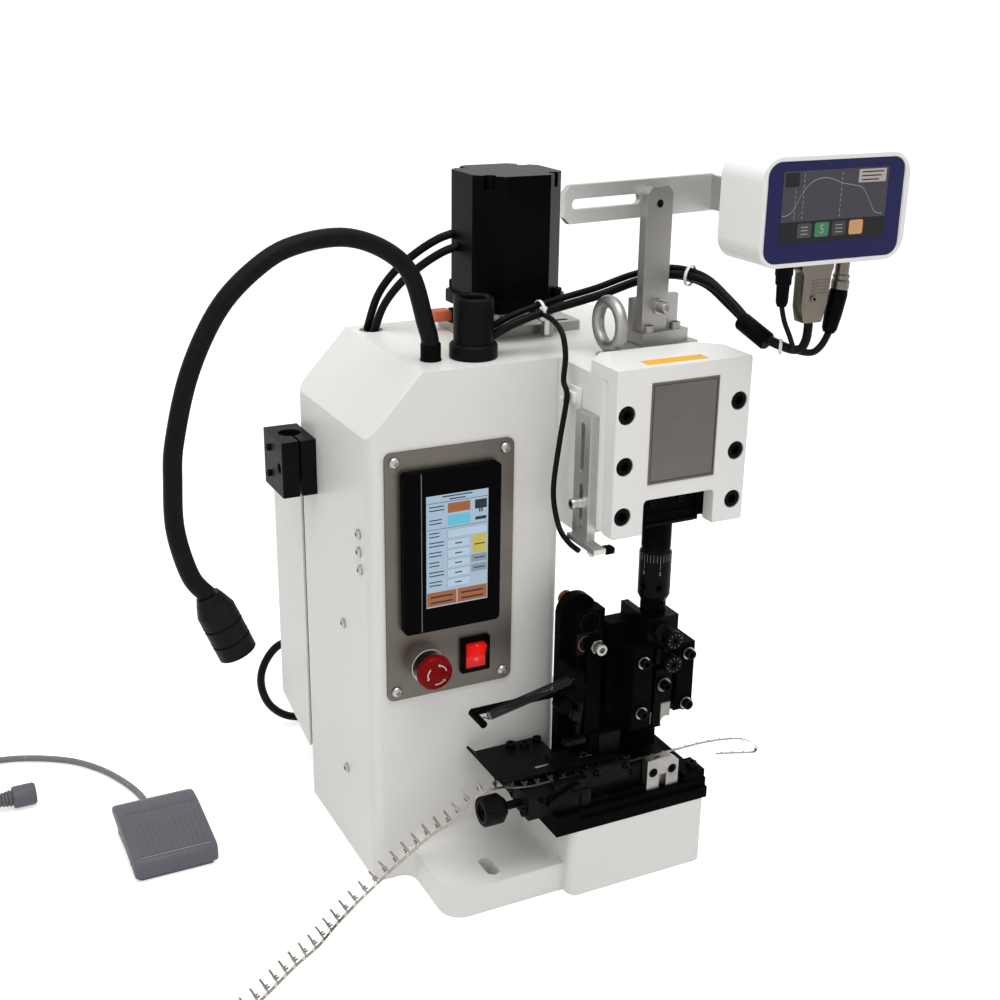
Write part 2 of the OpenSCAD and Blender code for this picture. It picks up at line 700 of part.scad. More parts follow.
module touchscreen_housing() color("#16181a") difference() {
  union() {
    pad_y(touch_x, [panel_y - touch_t, panel_y], touch_z, 4);
    slab([touch_x[0] + touch_lip + seat, touch_x[1] - touch_lip - seat], [panel_y - over, throat_d + touch_back],
      [touch_z[0] + touch_lip + seat, touch_z[1] - touch_lip - seat]);
  }
  slab([touch_x[0] + lcd_in_share * touch_w, touch_x[0] + lcd_in_share * touch_w + lcd_w],
    [panel_y - touch_t - over, panel_y - touch_t + 0.6],
    [(touch_z[0] + touch_z[1] - lcd_h) / 2, (touch_z[0] + touch_z[1] + lcd_h) / 2]);
}
// ---- emergency stop ----
plunger_d = 15;
cap_bore = 10;
stop_y = panel_y - 24;
module estop_collar() color("gainsboro") difference() {
  union() {
    rod_y(collar_d, stop_x, [panel_y - 6, panel_y], switch_z);
    rod_y(stop_shank, stop_x, [panel_y - over, throat_d + wall + 22], switch_z);
  }
  rod_y(plunger_d + 2 * run, stop_x, [panel_y - 6 - over, throat_d + wall + 16], switch_z);
}
module estop_plunger() color("dimgray") {
  rod_y(plunger_d, stop_x, [panel_y - 13, throat_d + wall + 16 - stop_travel - 1], switch_z);
  rod_y(cap_bore, stop_x, [panel_y - 21, panel_y - 12], switch_z);
}
module estop_cap() color("crimson") translate([stop_x, panel_y - 13 - slip, switch_z]) rotate([90, 0, 0]) difference() {
  rotate_extrude() polygon([[cap_bore / 2 + run, 0], [stop_d / 2 - 4, 0], [stop_d / 2 - 0.6, 2.5], [stop_d / 2, 4],
    [stop_d / 2 - 0.6, 8], [stop_d / 2 - 2, 9.6], [stop_d / 2 - 4.5, 10.7], [0, 11.7], [0, 8.4], [cap_bore / 2 + run, 8.4]]);
}
// ---- power rocker ----
module rocker_frame() color("black") difference() {
  union() {
    pad_y([rocker_x - rocker_w / 2, rocker_x + rocker_w / 2], [panel_y - 3.5, panel_y],
      [switch_z - rocker_h / 2, switch_z + rocker_h / 2], 1);
    slab([rocker_x - rocker_w / 2 + rocker_lip + seat, rocker_x + rocker_w / 2 - rocker_lip - seat],
      [panel_y - over, throat_d + wall + 14],
      [switch_z - rocker_h / 2 + rocker_lip + seat, switch_z + rocker_h / 2 - rocker_lip - seat]);
  }
  slab([rocker_x - rocker_w / 2 + rocker_lip + 1.5, rocker_x + rocker_w / 2 - rocker_lip - 1.5],
    [panel_y - 3.5 - over, throat_d + wall + 6],
    [switch_z - rocker_h / 2 + rocker_lip + 1.2, switch_z + rocker_h / 2 - rocker_lip - 1.2]);
  rod_x(3 + 2 * run, [rocker_x - rocker_w / 2 + rocker_lip + 0.6, rocker_x + rocker_w / 2 - rocker_lip - 0.6], rocker_y, switch_z);
}
rocker_y = throat_d + 4;
rocker_half = rocker_h / 2 - rocker_lip - 2.2;
module rocker_button() color("red") translate([0, rocker_y, switch_z]) rotate([rocker_tilt, 0, 0]) {
  prism_x([[-11, rocker_half - 1], [-9.4, 0], [-11, 1 - rocker_half], [-4, 1 - rocker_half], [3.5, -4], [3.5, 4],
    [-4, rocker_half - 1]], [rocker_x - rocker_w / 2 + rocker_lip + 1.8, rocker_x + rocker_w / 2 - rocker_lip - 1.8]);
  rod_x(3, [rocker_x - rocker_w / 2 + rocker_lip + 0.8, rocker_x + rocker_w / 2 - rocker_lip - 0.8], 0, 0);
}
// ---- reel-arm block ----
reel_x = [col_x[0] - reel_w, col_x[0]];
reel_y = [back + reel_in - reel_d, back + reel_in];
reel_mid = [reel_x[0] + reel_w * 0.52, reel_y[0] + reel_d * 0.53];
module reel_arm_block() color("#202224") difference() {
  pad_z(reel_x, reel_y, [reel_low, reel_low + reel_h], 1);
  rod_z(reel_bore, reel_mid[0], reel_mid[1], [reel_low - over, reel_low + reel_h + over]);
  slab([reel_mid[0] - 1, reel_mid[0] + 1], [reel_y[0] - over, reel_mid[1]], [reel_low - over, reel_low + reel_h + over]);
  for (z = [0.5]) rod_x(9, [reel_x[0] - over, reel_x[0] + 4], reel_y[0] + reel_d * 0.17, reel_low + reel_h * z);
}
// ---- motor ----
mount_x = [-motor_x - mount_l / 2 + 11, -motor_x + mount_l / 2 + 11];
mount_y = [motor_y - mount_w / 2 + 13, motor_y + mount_w / 2 + 13];
bolt_in = flange_w / 2 - motor_cut / 2 - post_d / 2 - 1;
module motor_mount() color("silver") difference() {
  union() {
    pad_z(mount_x, mount_y, [frame_h, frame_h + mount_t], 2);
    for (x = [-1, 1], y = [-1, 1]) rod_z(post_d, mot[0] + x * bolt_in, mot[1] + y * bolt_in, [frame_h, flange_z]);
  }
  rod_z(neck_hole, mot[0], mot[1], [frame_h - over, frame_h + mount_t + over]);
  for (x = [mount_x[0] + 8, mount_x[1] - 24]) pad_z([x, x + 16], [mount_y[0] + 6, mount_y[0] + 12], [frame_h - over, frame_h + mount_t + over], 2.9);
}
module motor_body() color("#141414") {
  prism_z(octagon(flange_w, motor_cut - 2, mot[0], mot[1]), [flange_z, flange_z + flange_t]);
  prism_z(octagon(motor_w, motor_cut, mot[0], mot[1]), [flange_z + flange_t - over, flange_z + flange_t + motor_h]);
  rod_z(50, mot[0], mot[1], [flange_z - 3, flange_z + over]);
  rod_z(motor_shaft, mot[0], mot[1], [roof - 20, flange_z]);
}
module motor_end_cap() color("#1b1b1b") {
  z0 = flange_z + flange_t + motor_h;
  pocket = motor_w / 2 - motor_cut / 2 - over;
  difference() {
    prism_z(octagon(motor_w, motor_cut, mot[0], mot[1]), [z0, z0 + cap_h]);
    for (x = [-1, 1], y = [-1, 1])
      rod_z(motor_cut / 2, mot[0] + x * pocket, mot[1] + y * pocket, [z0 + cap_h * 0.6, z0 + cap_h + over]);
  }
}
// ---- worm unit ----
gearbox_y = [gear_y + 9, gear_y + 109];
module worm_gearbox() color("lightslategray") difference() {
  union() {
    rod_y(wheel_d, 0, [gearbox_y[0] + 6, gearbox_y[1] - 6], crank_z);
    rod_y(wheel_d * 0.6, 0, gearbox_y, crank_z);
    rod_z(worm_d, mot[0], mot[1], [gear_low, roof - 2]);
    rod_z(neck_hole - 2, mot[0], mot[1], [gear_low, flange_z - 6]);
    slab([mot[0], 0], [gearbox_y[0] + 16, gearbox_y[1] - 16], [gear_low + 20, roof - 20]);
    slab([-wheel_d / 2, wheel_d / 2], [gearbox_y[0] + 10, gearbox_y[1] - 10], [gear_low, gear_low + 12]);
  }
  rod_y(tail_d + 2 * run, 0, [gearbox_y[0] - over, gearbox_y[1] + over], crank_z);
  rod_z(motor_shaft + 2 * seat, mot[0], mot[1], [roof - 22, flange_z]);
}
// ---- crank ----
disc_y = [slide_room - 8, slide_room - 2];
module crankshaft() color("slategray") {
  rod_y(pin_d, 0, [slide_back - 17, disc_y[0] + over], crank_z + throw);
  rod_y(disc_d, 0, disc_y, crank_z);
  rod_y(shaft_d, 0, [disc_y[1] - over, gear_y + 5], crank_z);
  rod_y(tail_d, 0, [gear_y, gearbox_y[1] + 3], crank_z);
  rod_y(tail_d + 10, 0, [gearbox_y[1] + 1, gearbox_y[1] + 7], crank_z);
}
module crank_bearings() color("lightgray") for (y = [[slide_room + 1, slide_room + 1 + bearing_w], [gear_y - 1 - bearing_w, gear_y - 1]])
  difference() {
    rod_y(bearing_d, 0, y, crank_z);
    rod_y(shaft_d + 2 * run, 0, [y[0] - over, y[1] + over], crank_z);
    for (e = y) rod_y(bearing_d - 8, 0, [e - 0.6, e + 0.6], crank_z);
  }
// ---- slide ----
slide_y = [-slide_front, slide_back];
slide_z = [slide_low, slide_low + slide_h];
cross_h = pin_d + 2 * (0.2107 * throw + 0.34);
cross_half = throw + pin_d / 2 + 1.5;
gib_lip = slide_half - throw - pin_d / 2 - 0.6;
post_in = 26;
// spigot of the post in the slide
spigot_d = 18;
module slide_block() color("#17171a") difference() {
  slab([-slide_half, slide_half], slide_y, slide_z);
  slab([-cross_half, cross_half], [slide_back - 19, slide_back + over],
    [crank_z + throw - cross_h / 2, crank_z + throw + cross_h / 2]);
  rod_z(spigot_d + 2 * seat, 0, 0, [slide_low - over, slide_low + post_in]);
  pad_y([-slide_half + 4, slide_half - 4], [slide_y[0] - over, slide_y[0] + 1.2], [slide_low + 11, slide_z[1] - 8], 8);
}
module slide_gibs() color("dimgray") for (m = [0, 1]) mirror([m, 0, 0]) {
  slab([slide_half + slip, room_half], [-head_front + 0.4, slide_back + 2.7], [front_low + 2, roof - 2]);
  slab([slide_half - gib_lip, slide_half + slip + over], [slide_back + slip, slide_back + 2.7], [front_low + 2, roof - 2]);
  slab([slide_half - gib_lip, slide_half + slip + over], [-head_front + 0.4, -slide_front - slip], [front_low + 2, roof - 2]);
}
// ---- shut height ----
neck_w = 16;
neck_lo = ram_top - 6;
module ram_post() color("#1a1a1c") {
  rod_z(post_dia, 0, 0, [dial_top + slip, slide_low]);
  rod_z(spigot_d, 0, 0, [slide_low - over, slide_low + post_in]);
  rod_z(stem_d, 0, 0, [dial_low - over, dial_top + over]);
  rod_z(post_dia - 3, 0, 0, [ram_top + slip, dial_low - slip]);
  rod_z(neck_w - 2, 0, 0, [neck_lo - over, ram_top + over]);
  rod_z(button_d, 0, 0, [neck_lo - slip - button_t, neck_lo - slip]);
}
module adjuster_dial() color("#141416") difference() {
  rotate_extrude() polygon([[stem_d / 2 + run, dial_low], [dial_d / 2 - 3.5, dial_low], [dial_d / 2, dial_low + 7],
    [dial_d / 2, dial_top - 5], [dial_d / 2 - 2.4, dial_top], [stem_d / 2 + run, dial_top]]);
  for (a = [15:60:345]) rotate([0, 0, a]) rod_x(tommy_d, [stem_d / 2 + 3, dial_d], 0, dial_low + 16);
}
// ---- applicator ----
base_y = [-bed_front + 0.3, -bed_front + 0.3 + base_d];
step_x = -77.6;
step_z = 7.5;
module applicator_base() color("#1c1d1f") difference() {
  union() {
    slab([-base_left, base_right], base_y, [bed_h, base_top]);
    slab([rail_x, -anvil_left - 1], [-track_front - 1, -track_front + 5], [base_top - over, base_top + 5]);
    slab([anvil_right + 1, base_right - 15], [-track_front - 1, -track_front + 5], [base_top - over, base_top + 5]);
    slab([base_right - 22, base_right - 1], [base_y[0] + 4, base_y[0] + 26], [base_top - over, base_top + 8]);
  }
  slab([-base_left * 0.78, base_right + over], [base_y[0] - over, base_y[0] + 3], [bed_h + 10, base_top + over]);
  rod_z(5.2, base_right - 9, base_y[0] + 12, [base_top - 2, base_top + 8 + over]);
}
body_x = [-body_left, body_right];
body_front = -ram_front - slip;
leg_y = ram_back + slip + 2;
module applicator_frame() color("#191a1c") difference() {
  union() {
    slab(body_x, [body_front, body_back], [body_low, body_top]);
    slab(body_x, [leg_y, body_back], [base_top, body_low + over]);
    slab([-38, -ram_half - slip], [4, 14], [body_low, body_top + 16]);
    slab([body_x[0] - 8, body_x[0] + over], [leg_y, body_back], [base_top, body_low + over]);
  }
  slab([-ram_half - slip, ram_half + slip], [body_front - over, ram_back + slip], [body_low - over, body_top + 20]);
  rod_z(dial_d + 4, 0, 0, [body_top - 0.5, body_top + 20]);
  for (x = [-gib_screw_x, gib_screw_x], z = [gib_screw_lo, gib_screw_hi]) rod_y(5 + 2 * seat, x, [body_front - over, body_front + 13], z);
}
gib_y = [body_front - gib_t, body_front];
module applicator_gibs() color("#202123") {
  difference() {
    slab([-body_left, -gib_gap], gib_y, [gib_low, body_top + 2]);
    for (z = [gib_screw_lo, gib_screw_hi]) rod_y(5 + 2 * seat, -gib_screw_x, [gib_y[0] - over, gib_y[1] + over], z);
  }
  difference() {
    union() {
      slab([gib_gap, body_right], gib_y, [gib_screw_lo, body_top]);
      rod_y(2 * (body_right - gib_screw_x) + 1, gib_screw_x, gib_y, gib_screw_lo);
    }
    for (z = [gib_screw_lo, gib_screw_hi]) rod_y(5 + 2 * seat, gib_screw_x, [gib_y[0] - over, gib_y[1] + over], z);
  }
}
gib_head = 8.5;
module applicator_screws() color("#3a3b3d") for (x = [-gib_screw_x, gib_screw_x], z = [gib_screw_lo, gib_screw_hi]) {
  cap_screw_y(x, gib_y[0] - 1, z, gib_head, 5, gib_t + 12);
  difference() {
    rod_y(10, x, [gib_y[0] - 1, gib_y[0]], z);
    rod_y(5 + seat, x, [gib_y[0] - 2, gib_y[0] + over], z);
  }
}
ram_pin = 6;
pin_in = 5;
module applicator_ram() color("#1b1c1e") difference() {
  slab([-ram_half, ram_half], [-ram_front, ram_back], [ram_low, ram_top]);
  // slot for the press: lips over a chamber, open to the back
  slab([-neck_w / 2, neck_w / 2], [0, ram_back + over], [neck_lo - over, ram_top + over]);
  rod_z(neck_w, 0, 0, [neck_lo - over, ram_top + over]);
  slab([-button_d / 2 - slip, button_d / 2 + slip], [0, ram_back + over], [neck_lo - button_t - 2 * slip, neck_lo]);
  rod_z(button_d + 2 * slip, 0, 0, [neck_lo - button_t - 2 * slip, neck_lo]);
  for (z = [wire_z, insul_z]) rod_y(ram_pin + 2 * run, 0, [-ram_front - over, -ram_front + pin_in + slip], z);
  rod_y(6 + 2 * seat, 0, [-ram_front - over, -ram_front + 13], crimper_screw);
}
crimper_y = [-ram_front - crimper_t, -ram_front];
// arch under the crimper: place, height and width
crimper_arch = [4.6, 3.5, 10.4];
module crimper() color("darkgray") {
  difference() {
    slab([-crimper_half, crimper_half], crimper_y, [crimper_low, crimper_screw + 14]);
    rod_y(crimper_arch[2], crimper_arch[0], [crimper_y[0] - over, crimper_y[1] + over], crimper_low + crimper_arch[1]);
    slab([crimper_arch[0], crimper_half + over], [crimper_y[0] - over, crimper_y[1] + over],
      [crimper_low - over, crimper_low + crimper_arch[1]]);
  }
  rod_y(11, 0, [crimper_y[0] - 1.4, crimper_y[0]], crimper_screw);
  cap_screw_y(0, crimper_y[0] - 1.4, crimper_screw, 8.5, 5.6, crimper_t + 10);
}
module dial_shape(z) translate([0, -ram_front - slip, z]) rotate([90, 0, 0]) difference() {
  rotate_extrude() polygon([[0, -pin_in], [ram_pin / 2, -pin_in], [ram_pin / 2, 0], [knob_d / 2 - 1, 0], [knob_d / 2, 1.2],
    [knob_d / 2 - 1, 3], [knob_d / 2 - 4, 5.5], [knob_d / 2 - 4, 8], [knob_d / 2 - 1, 9.6], [knob_d / 2 - 1, knob_l - 1],
    [knob_d / 2 - 2, knob_l], [0, knob_l]]);
  translate([0, 0, knob_l - 3]) cylinder(d = 5, h = 4, $fn = 6);
  for (a = [0:36:324]) rotate([0, 0, a]) translate([knob_d / 2 - 0.6, 0, 9]) cylinder(d = 1.4, h = knob_l);
}
module wire_dial() color("#1b1b1d") dial_shape(wire_z);
module insulation_dial() color("#1b1b1d") dial_shape(insul_z);
module anvil_block() color("silver") difference() {
  union() {
    prism_y([[-anvil_left, base_top], [anvil_right, base_top], [anvil_right, anvil_top - 6], [anvil_right - 8, anvil_top],
      [-anvil_left, anvil_top - 1]], [-anvil_front, -anvil_front + 8]);
    slab([-anvil_left + 1, anvil_right - 2], [-anvil_front + 7, anvil_back], [base_top, anvil_top - 9]);
  }
  slab([1.5, 8.5], [-anvil_front - over, -anvil_front + 5], [base_top - over, base_top + 13]);
  for (x = [-4.5, 14]) rod_y(8.4, x, [-anvil_front - over, -anvil_front + 4.4], base_top + 16);
  slab([-3, 3], [-anvil_front + 2, -anvil_front + 5], [anvil_top - 3, anvil_top + over]);
}
// ---- strip track ----
track_x = [-track_left, -anvil_left - 0.5];
track_y = [-track_front, -track_front + track_d];
slot_y1 = 8;
track_z = base_top;
rail_x = -67;
module strip_track() color("#1a1a1c") difference() {
  union() {
    slab([-track_left, rail_x - slip], [-track_front, slot_y1], [track_z, track_top]);
    slab([-track_left + 5, -feed_left - 1], [slot_y1 - over, track_y[1]], [track_z, track_top + guide_up]);
    slab([rail_x - 2, track_x[1]], [-track_front + 7, slot_y1], [track_z, track_top]);
    slab([-track_left + 24, rail_x - slip], [-track_front, -track_front + 8], [track_z, track_top + 5]);
    slab([rail_x - 2, -24], [-track_front + 5.2, -track_front + 10], [track_top - 9, track_top + 8]);
  }
  slab([-track_left - over, track_x[1] + over], [-8, 5], [track_top - 1.2, track_top + over]);
  rod_x(thumb_shaft + 2 * run, [-track_left - over, -track_left + 25], -thumb_y, thumb_z);
  rod_y(5 + 2 * run, lever_at[0], [-track_front - over, -track_front + 10], lever_at[1]);
}
lever_at = [-79, 100];
module guide_plate() color("#222325") {
  difference() {
    union() {
      slab([-guide_left, -feed_left - 1], [2, guide_back], [track_top + guide_up, track_top + guide_up + guide_t]);
      prism_y([[-guide_left, track_top + guide_up], [-guide_left, track_top + guide_up + guide_t],
        [-guide_left - 7, track_top + guide_up + 9], [-guide_left - 8.5, track_top + guide_up + 7.5]], [2, guide_back]);
      slab([-84, -feed_left + 12], [2, 24], [track_top + guide_up + guide_t - 0.01, track_top + guide_up + 5]);
      slab([-84, -feed_left + 12], [-2, 2.01], [track_top + 1, track_top + guide_up + 5]);
      slab([-feed_left + 11, -24], [-1.5, 12], [track_top + guide_up, track_top + guide_up + guide_t + 0.5]);
    }
  }
  for (p = [[-103, 50], [-92, 46]]) cap_screw_z(p[0], p[1], track_top + guide_up + guide_t, 8.5, 5, 1);
}
module release_lever() color("#232426") difference() {
  union() {
    rod_y(10, lever_at[0], [-track_front - 5, -track_front - slip], lever_at[1]);
    rod_y(5, lever_at[0], [-track_front - over, -track_front + 8], lever_at[1]);
    prism_y([[lever_at[0] + 1, lever_at[1] + 5], [lever_at[0] + 3, lever_at[1] - 4], [lever_at[0] - 22, lever_at[1] - 11.2],
      [lever_at[0] - 27, lever_at[1] - 10], [lever_at[0] - 25, lever_at[1] - 5.5]], [-track_front - 4, -track_front - slip]);
  }
  slab([lever_at[0] - 5, lever_at[0] + 5], [-track_front - 6, -track_front - 4.2], [lever_at[1] - 0.6, lever_at[1] + 0.6]);
}
module thumb_knob() color("#1a1a1c") difference() {
  union() {
    translate([-thumb_x, -thumb_y, thumb_z]) rotate([0, 90, 0]) rotate_extrude() polygon([[0, 0], [thumb_d / 2 - 1, 0],
      [thumb_d / 2, 1], [thumb_d / 2, thumb_l - 2], [thumb_d / 2 - 2, thumb_l], [thumb_d / 2 - 5, thumb_l + 3], [0, thumb_l + 3]]);
    rod_x(thumb_shaft, [-thumb_x + thumb_l, -track_left + 24], -thumb_y, thumb_z);
  }
  rod_x(thumb_d * 0.55, [-thumb_x - over, -thumb_x + 2], -thumb_y, thumb_z);
  translate([-thumb_x, -thumb_y, thumb_z]) rotate([0, 90, 0]) cylinder(d = 6, h = 6, $fn = 6);
}
// ---- feed ----
feed_x = [-feed_left, -feed_left + feed_w];
feed_yy = [feed_y, feed_y + feed_t];
hook_z = 179;
hook_y = 0;
arm_reach = 152;
module feed_bracket() color("#1c1d1f") {
  difference() {
    union() {
      slab(feed_x, feed_yy, [track_z, feed_top - feed_w / 2]);
      rod_y(feed_w, (feed_x[0] + feed_x[1]) / 2, feed_yy, feed_top - feed_w / 2);
      slab([feed_x[0] + 8, feed_x[1]], [feed_y - 14, feed_y + over], [pivot_z - 40, pivot_z + 28]);
      slab([feed_x[0], feed_x[0] + 7.5], [hook_y - 4, feed_y + over], [hook_z - 12, hook_z + 16]);
    }
    rod_y(pivot_d + 2 * run, -pivot_x, [hook_y - 5 - over, feed_yy[1] + over], pivot_z);
  }
  // rod with a bent end that holds the spring
  rod_x(rod_d, [-arm_reach - 12, feed_x[0] + over], hook_y, hook_z);
  rod_y(rod_d, -arm_reach - 12, [hook_y - 22, hook_y + rod_d / 2 * 0], hook_z);
  rod_y(12, -86, [hook_y - 12, hook_y], hook_z - 8);
}
lever_y = [feed_y - 14 - 6, feed_y - 14 - slip];
finger_z = track_top + guide_up + 6;
module feed_lever() color("#2a2b2d") {
  rod_y(pivot_d, -pivot_x, [lever_y[0] - 4, feed_yy[1] + 6], pivot_z);
  rod_y(18, -pivot_x, lever_y, pivot_z);
  slab([-pivot_x - 7, -pivot_x + 7], lever_y, [finger_z + 20, pivot_z]);
  slab([-pivot_x - 4, -pivot_x + 4], [lever_y[0] - 3, lever_y[1]], [finger_z + 2, finger_z + 21]);
  rod_y(13, -pivot_x, [lever_y[0] - 4, lever_y[0] + over], pivot_z);
}
spring_a = [-arm_reach - 12 + rod_d / 2 + spring_wire / 2 + slip, hook_y - 12, hook_z];
spring_b = [feed_x[0] - spring_wire / 2 - slip, hook_y - 2, hook_z + 11];
module feed_spring() color("#3a3a3c") {
  axis = spring_b - spring_a;
  l = norm(axis);
  r = (spring_d - spring_wire) / 2;
  lead = 8;
  p = concat([[0, 0, 0], [0, 0, 2], [r / 2, 0, 4]], [for (i = [0:spring_turns * 8]) let (a = i * 45)
    [r * cos(a), r * sin(a), lead - 2 + (l - 2 * lead + 4) * i / (spring_turns * 8)]], [[r / 2, 0, l - 4], [0, 0, l - 2], [0, 0, l]]);
  translate(spring_a) rotate([0, acos(axis[2] / l), atan2(axis[1], axis[0])]) tube(p, spring_wire, 6);
}
// ---- lamp, socket, eye ----
lamp_stud = 10;
lamp_stud_l = 12;
lamp_at = [-157, 94];
eye_stud = 10;
eye_stud_l = 12;
eye_at = [-25, 45];
lamp_route = [[-157, 94, 442], [-158, 93, 458], [-163, 91, 474], [-175, 89, 511], [-197, 86, 532], [-229, 83, 544],
  [-265, 81, 542], [-294, 78, 531], [-327, 75, 503], [-352, 73, 459], [-367, 70, 410], [-371, 67, 381], [-372, 65, 344],
  [-364, 62, 308], [-353, 59, 292]];
module lamp_gooseneck() color("#151515") {
  translate([0, 0, frame_h - lamp_route[0][2]]) tube(bend(lamp_route, 4), neck_d, 12);
  rod_z(neck_d + 2, lamp_at[0], lamp_at[1], [frame_h, frame_h + 14]);
  rod_z(lamp_stud, lamp_at[0], lamp_at[1], [frame_h - lamp_stud_l, frame_h + over]);
}
lamp_dir = unit([19, -5, -48.4]);
module lamp_head() color("#151515") translate(lamp_route[14] + [0, 0, frame_h - lamp_route[0][2]])
  rotate([0, acos(lamp_dir[2]), atan2(lamp_dir[1], lamp_dir[0])]) difference() {
    rotate_extrude() polygon([[0, 0], [neck_d / 2 + 2, 0], [lamp_d / 2 - 3, 6], [lamp_d / 2, 14], [lamp_d / 2, 24], [lamp_d / 2 - 1, 24],
      [lamp_d / 2 - 1, 26], [lamp_d / 2, 26], [lamp_d / 2, 38], [lamp_d / 2 - 1, 38], [lamp_d / 2 - 1, 40], [lamp_d / 2, 40],
      [lamp_d / 2, lamp_l], [lamp_d / 2 - 3, lamp_l], [lamp_d / 2 - 5, lamp_l - 5], [0, lamp_l - 5]]);
  }
module tube_socket() color("#101010") translate([-tube_x, tube_y, frame_h]) rotate_extrude() polygon([[tube_bore / 2, 0],
  [tube_collar / 2 - 1, 0], [tube_collar / 2, 1], [tube_collar / 2, collar_h - 1.5], [tube_collar / 2 - 1.5, collar_h],
  [tube_d / 2, collar_h], [tube_d / 2, tube_h - 1.5], [tube_d / 2 - 1.5, tube_h], [tube_bore / 2 + 1.5, tube_h],
  [tube_bore / 2, tube_h - 1.5]]);
module eye_bolt() color("lightgray") translate([eye_at[0], eye_at[1], frame_h]) {
  translate([0, 0, eye_d / 2 + 4]) rotate([0, 90, 0]) rotate_extrude() translate([(eye_d - eye_bar) / 2, 0]) circle(d = eye_bar);
  cylinder(d = 2 * eye_bar, h = eye_bar * 0.34);
  rod_z(eye_bar * 0.8, 0, 0, [0, eye_bar * 0.85]);
  rod_z(eye_stud, 0, 0, [-eye_stud_l, over]);
}
// ---- monitor ----
br_at = [1, 32, frame_h];
module bracket_frame() translate(br_at) rotate([0, 0, bracket_yaw]) children();
post_x = [5, 5 + upright_w];
foot_bar_t = 9.6;
module bracket_post() color("silver") bracket_frame() {
  slab([0, bracket_w], [0, bracket_d], [0, bracket_t]);
  slab([2, bracket_w - 6], [6, 26], [bracket_t, bracket_t + foot_bar_t]);
  slab([2, bracket_w - 6], [20, 26], [bracket_t, bracket_t + foot_bar_t + 26]);
  prism_y([[post_x[0], bracket_t + foot_bar_t], [post_x[1], bracket_t + foot_bar_t], [post_x[1], upright_top - frame_h - 5],
    [post_x[1] - 5, upright_top - frame_h], [post_x[0] + 5, upright_top - frame_h], [post_x[0], upright_top - frame_h - 5]],
    [20 - upright_t, 20]);
  for (x = [12, 40]) cap_screw_z(x, 12, bracket_t + foot_bar_t, 9, 5, 4);
}
arm_z = upright_top - frame_h - 24;
module monitor_arm() color("lightgray") {
  bracket_frame() difference() {
    prism_y([[-69, arm_z + 5], [-64, arm_z], [80, arm_z], [80, arm_z + arm_h], [-64, arm_z + arm_h], [-69, arm_z + arm_h - 5]],
      [20, 20 + arm_t]);
    pad_y([-62, 4], [20 - over, 20 + arm_t + over], [arm_z + arm_h / 2 - 4, arm_z + arm_h / 2 + 4], 3.9);
  }
  arm_leg();
}
leg_x = [75, 75 + arm_t];
leg_y0 = monitor_d - monitor_y;
module arm_leg() prism_x([[leg_y0, monitor_z - 30], [leg_y0 + 20, monitor_z - 30], [leg_y0 + 50, frame_h + arm_z + 1],
  [69, frame_h + arm_z + 1], [69, frame_h + arm_z + arm_h - 1], [leg_y0 + 50, frame_h + arm_z + arm_h - 1],
  [leg_y0 + 20, monitor_z + 30], [leg_y0, monitor_z + 30]], leg_x);
mon_x = [monitor_x - monitor_w / 2, monitor_x + monitor_w / 2];
mon_z = [monitor_z - monitor_h / 2, monitor_z + monitor_h / 2];
module monitor_housing() color("white") difference() {
  pad_y(mon_x, [-monitor_y, -monitor_y + monitor_d], mon_z, monitor_r);
  pad_y([mon_x[0] + 4, mon_x[1] - 4], [-monitor_y - over, -monitor_y + 0.8], [mon_z[0] + 3, mon_z[1] - 3], monitor_r - 5);
}
module monitor_plugs() color("silver") {
  rod_z(9.5, 71, -50, [498, mon_z[0]]);
  rod_z(17, 96, -50, [499, mon_z[0]]);
  rod_z(14.5, 123, -50, [502, mon_z[0]]);
}
module held_leads() color("#181818") {
  for (k = [0:2]) tube(bend([for (p = bundle) p + bundle_off[k]], 3), 6, 8);
  for (k = [0, 1]) tube(bend([for (p = motor_run) p + [0, 10 * k, 9 * k]], 3), 7, 8);
}
bundle = [[-102, 84, 468], [-68, 84, 472], [-41, 84, 477], [-14, 84, 482], [20, 82, 491], [44, 66, 497], [58, 40, 494],
  [62, 10, 482], [66, -20, 466], [76, -44, 460], [92, -50, 464], [97, -50, 480], [97, -50, 499]];
bundle_off = [[0, 0, 0], [0, -7, 3], [0, 1, 7]];
motor_run = [[-104, 150, 500], [-118, 160, 504], [-134, 180, 494], [-150, 196, 474], [-158, 204, 456], [-162, 208, 430]];
// ---- sensor ----
module sensor_bracket() color("silver") {
  difference() {
    slab([-68, head_x[0] - slip], [-5, 18.5], [309, 411]);
    for (z = [[363.7, 403.8], [315.4, 354.4]]) pad_x([-69, -60], [3.5, 9.5], z, 2.9);
  }
  slab([-72.6, -62.01], [-24.5, 18.5], [306, 310]);
  rod_x(9, [-72, -68], 6.5, 338.5);
}
module sensor_lead() color("#181818") tube(bend(sensor_run, 3), 4.5, 8);
sensor_run = [[-68, 80, 474], [-68, 58, 472], [-70, 40, 466], [-70, 34, 450], [-70, 36, 430], [-70, 30, 418], [-72, 36, 380],
  [-73, 42, 337], [-74, 30, 312], [-74, 14, 304], [-72, 0, 301]];
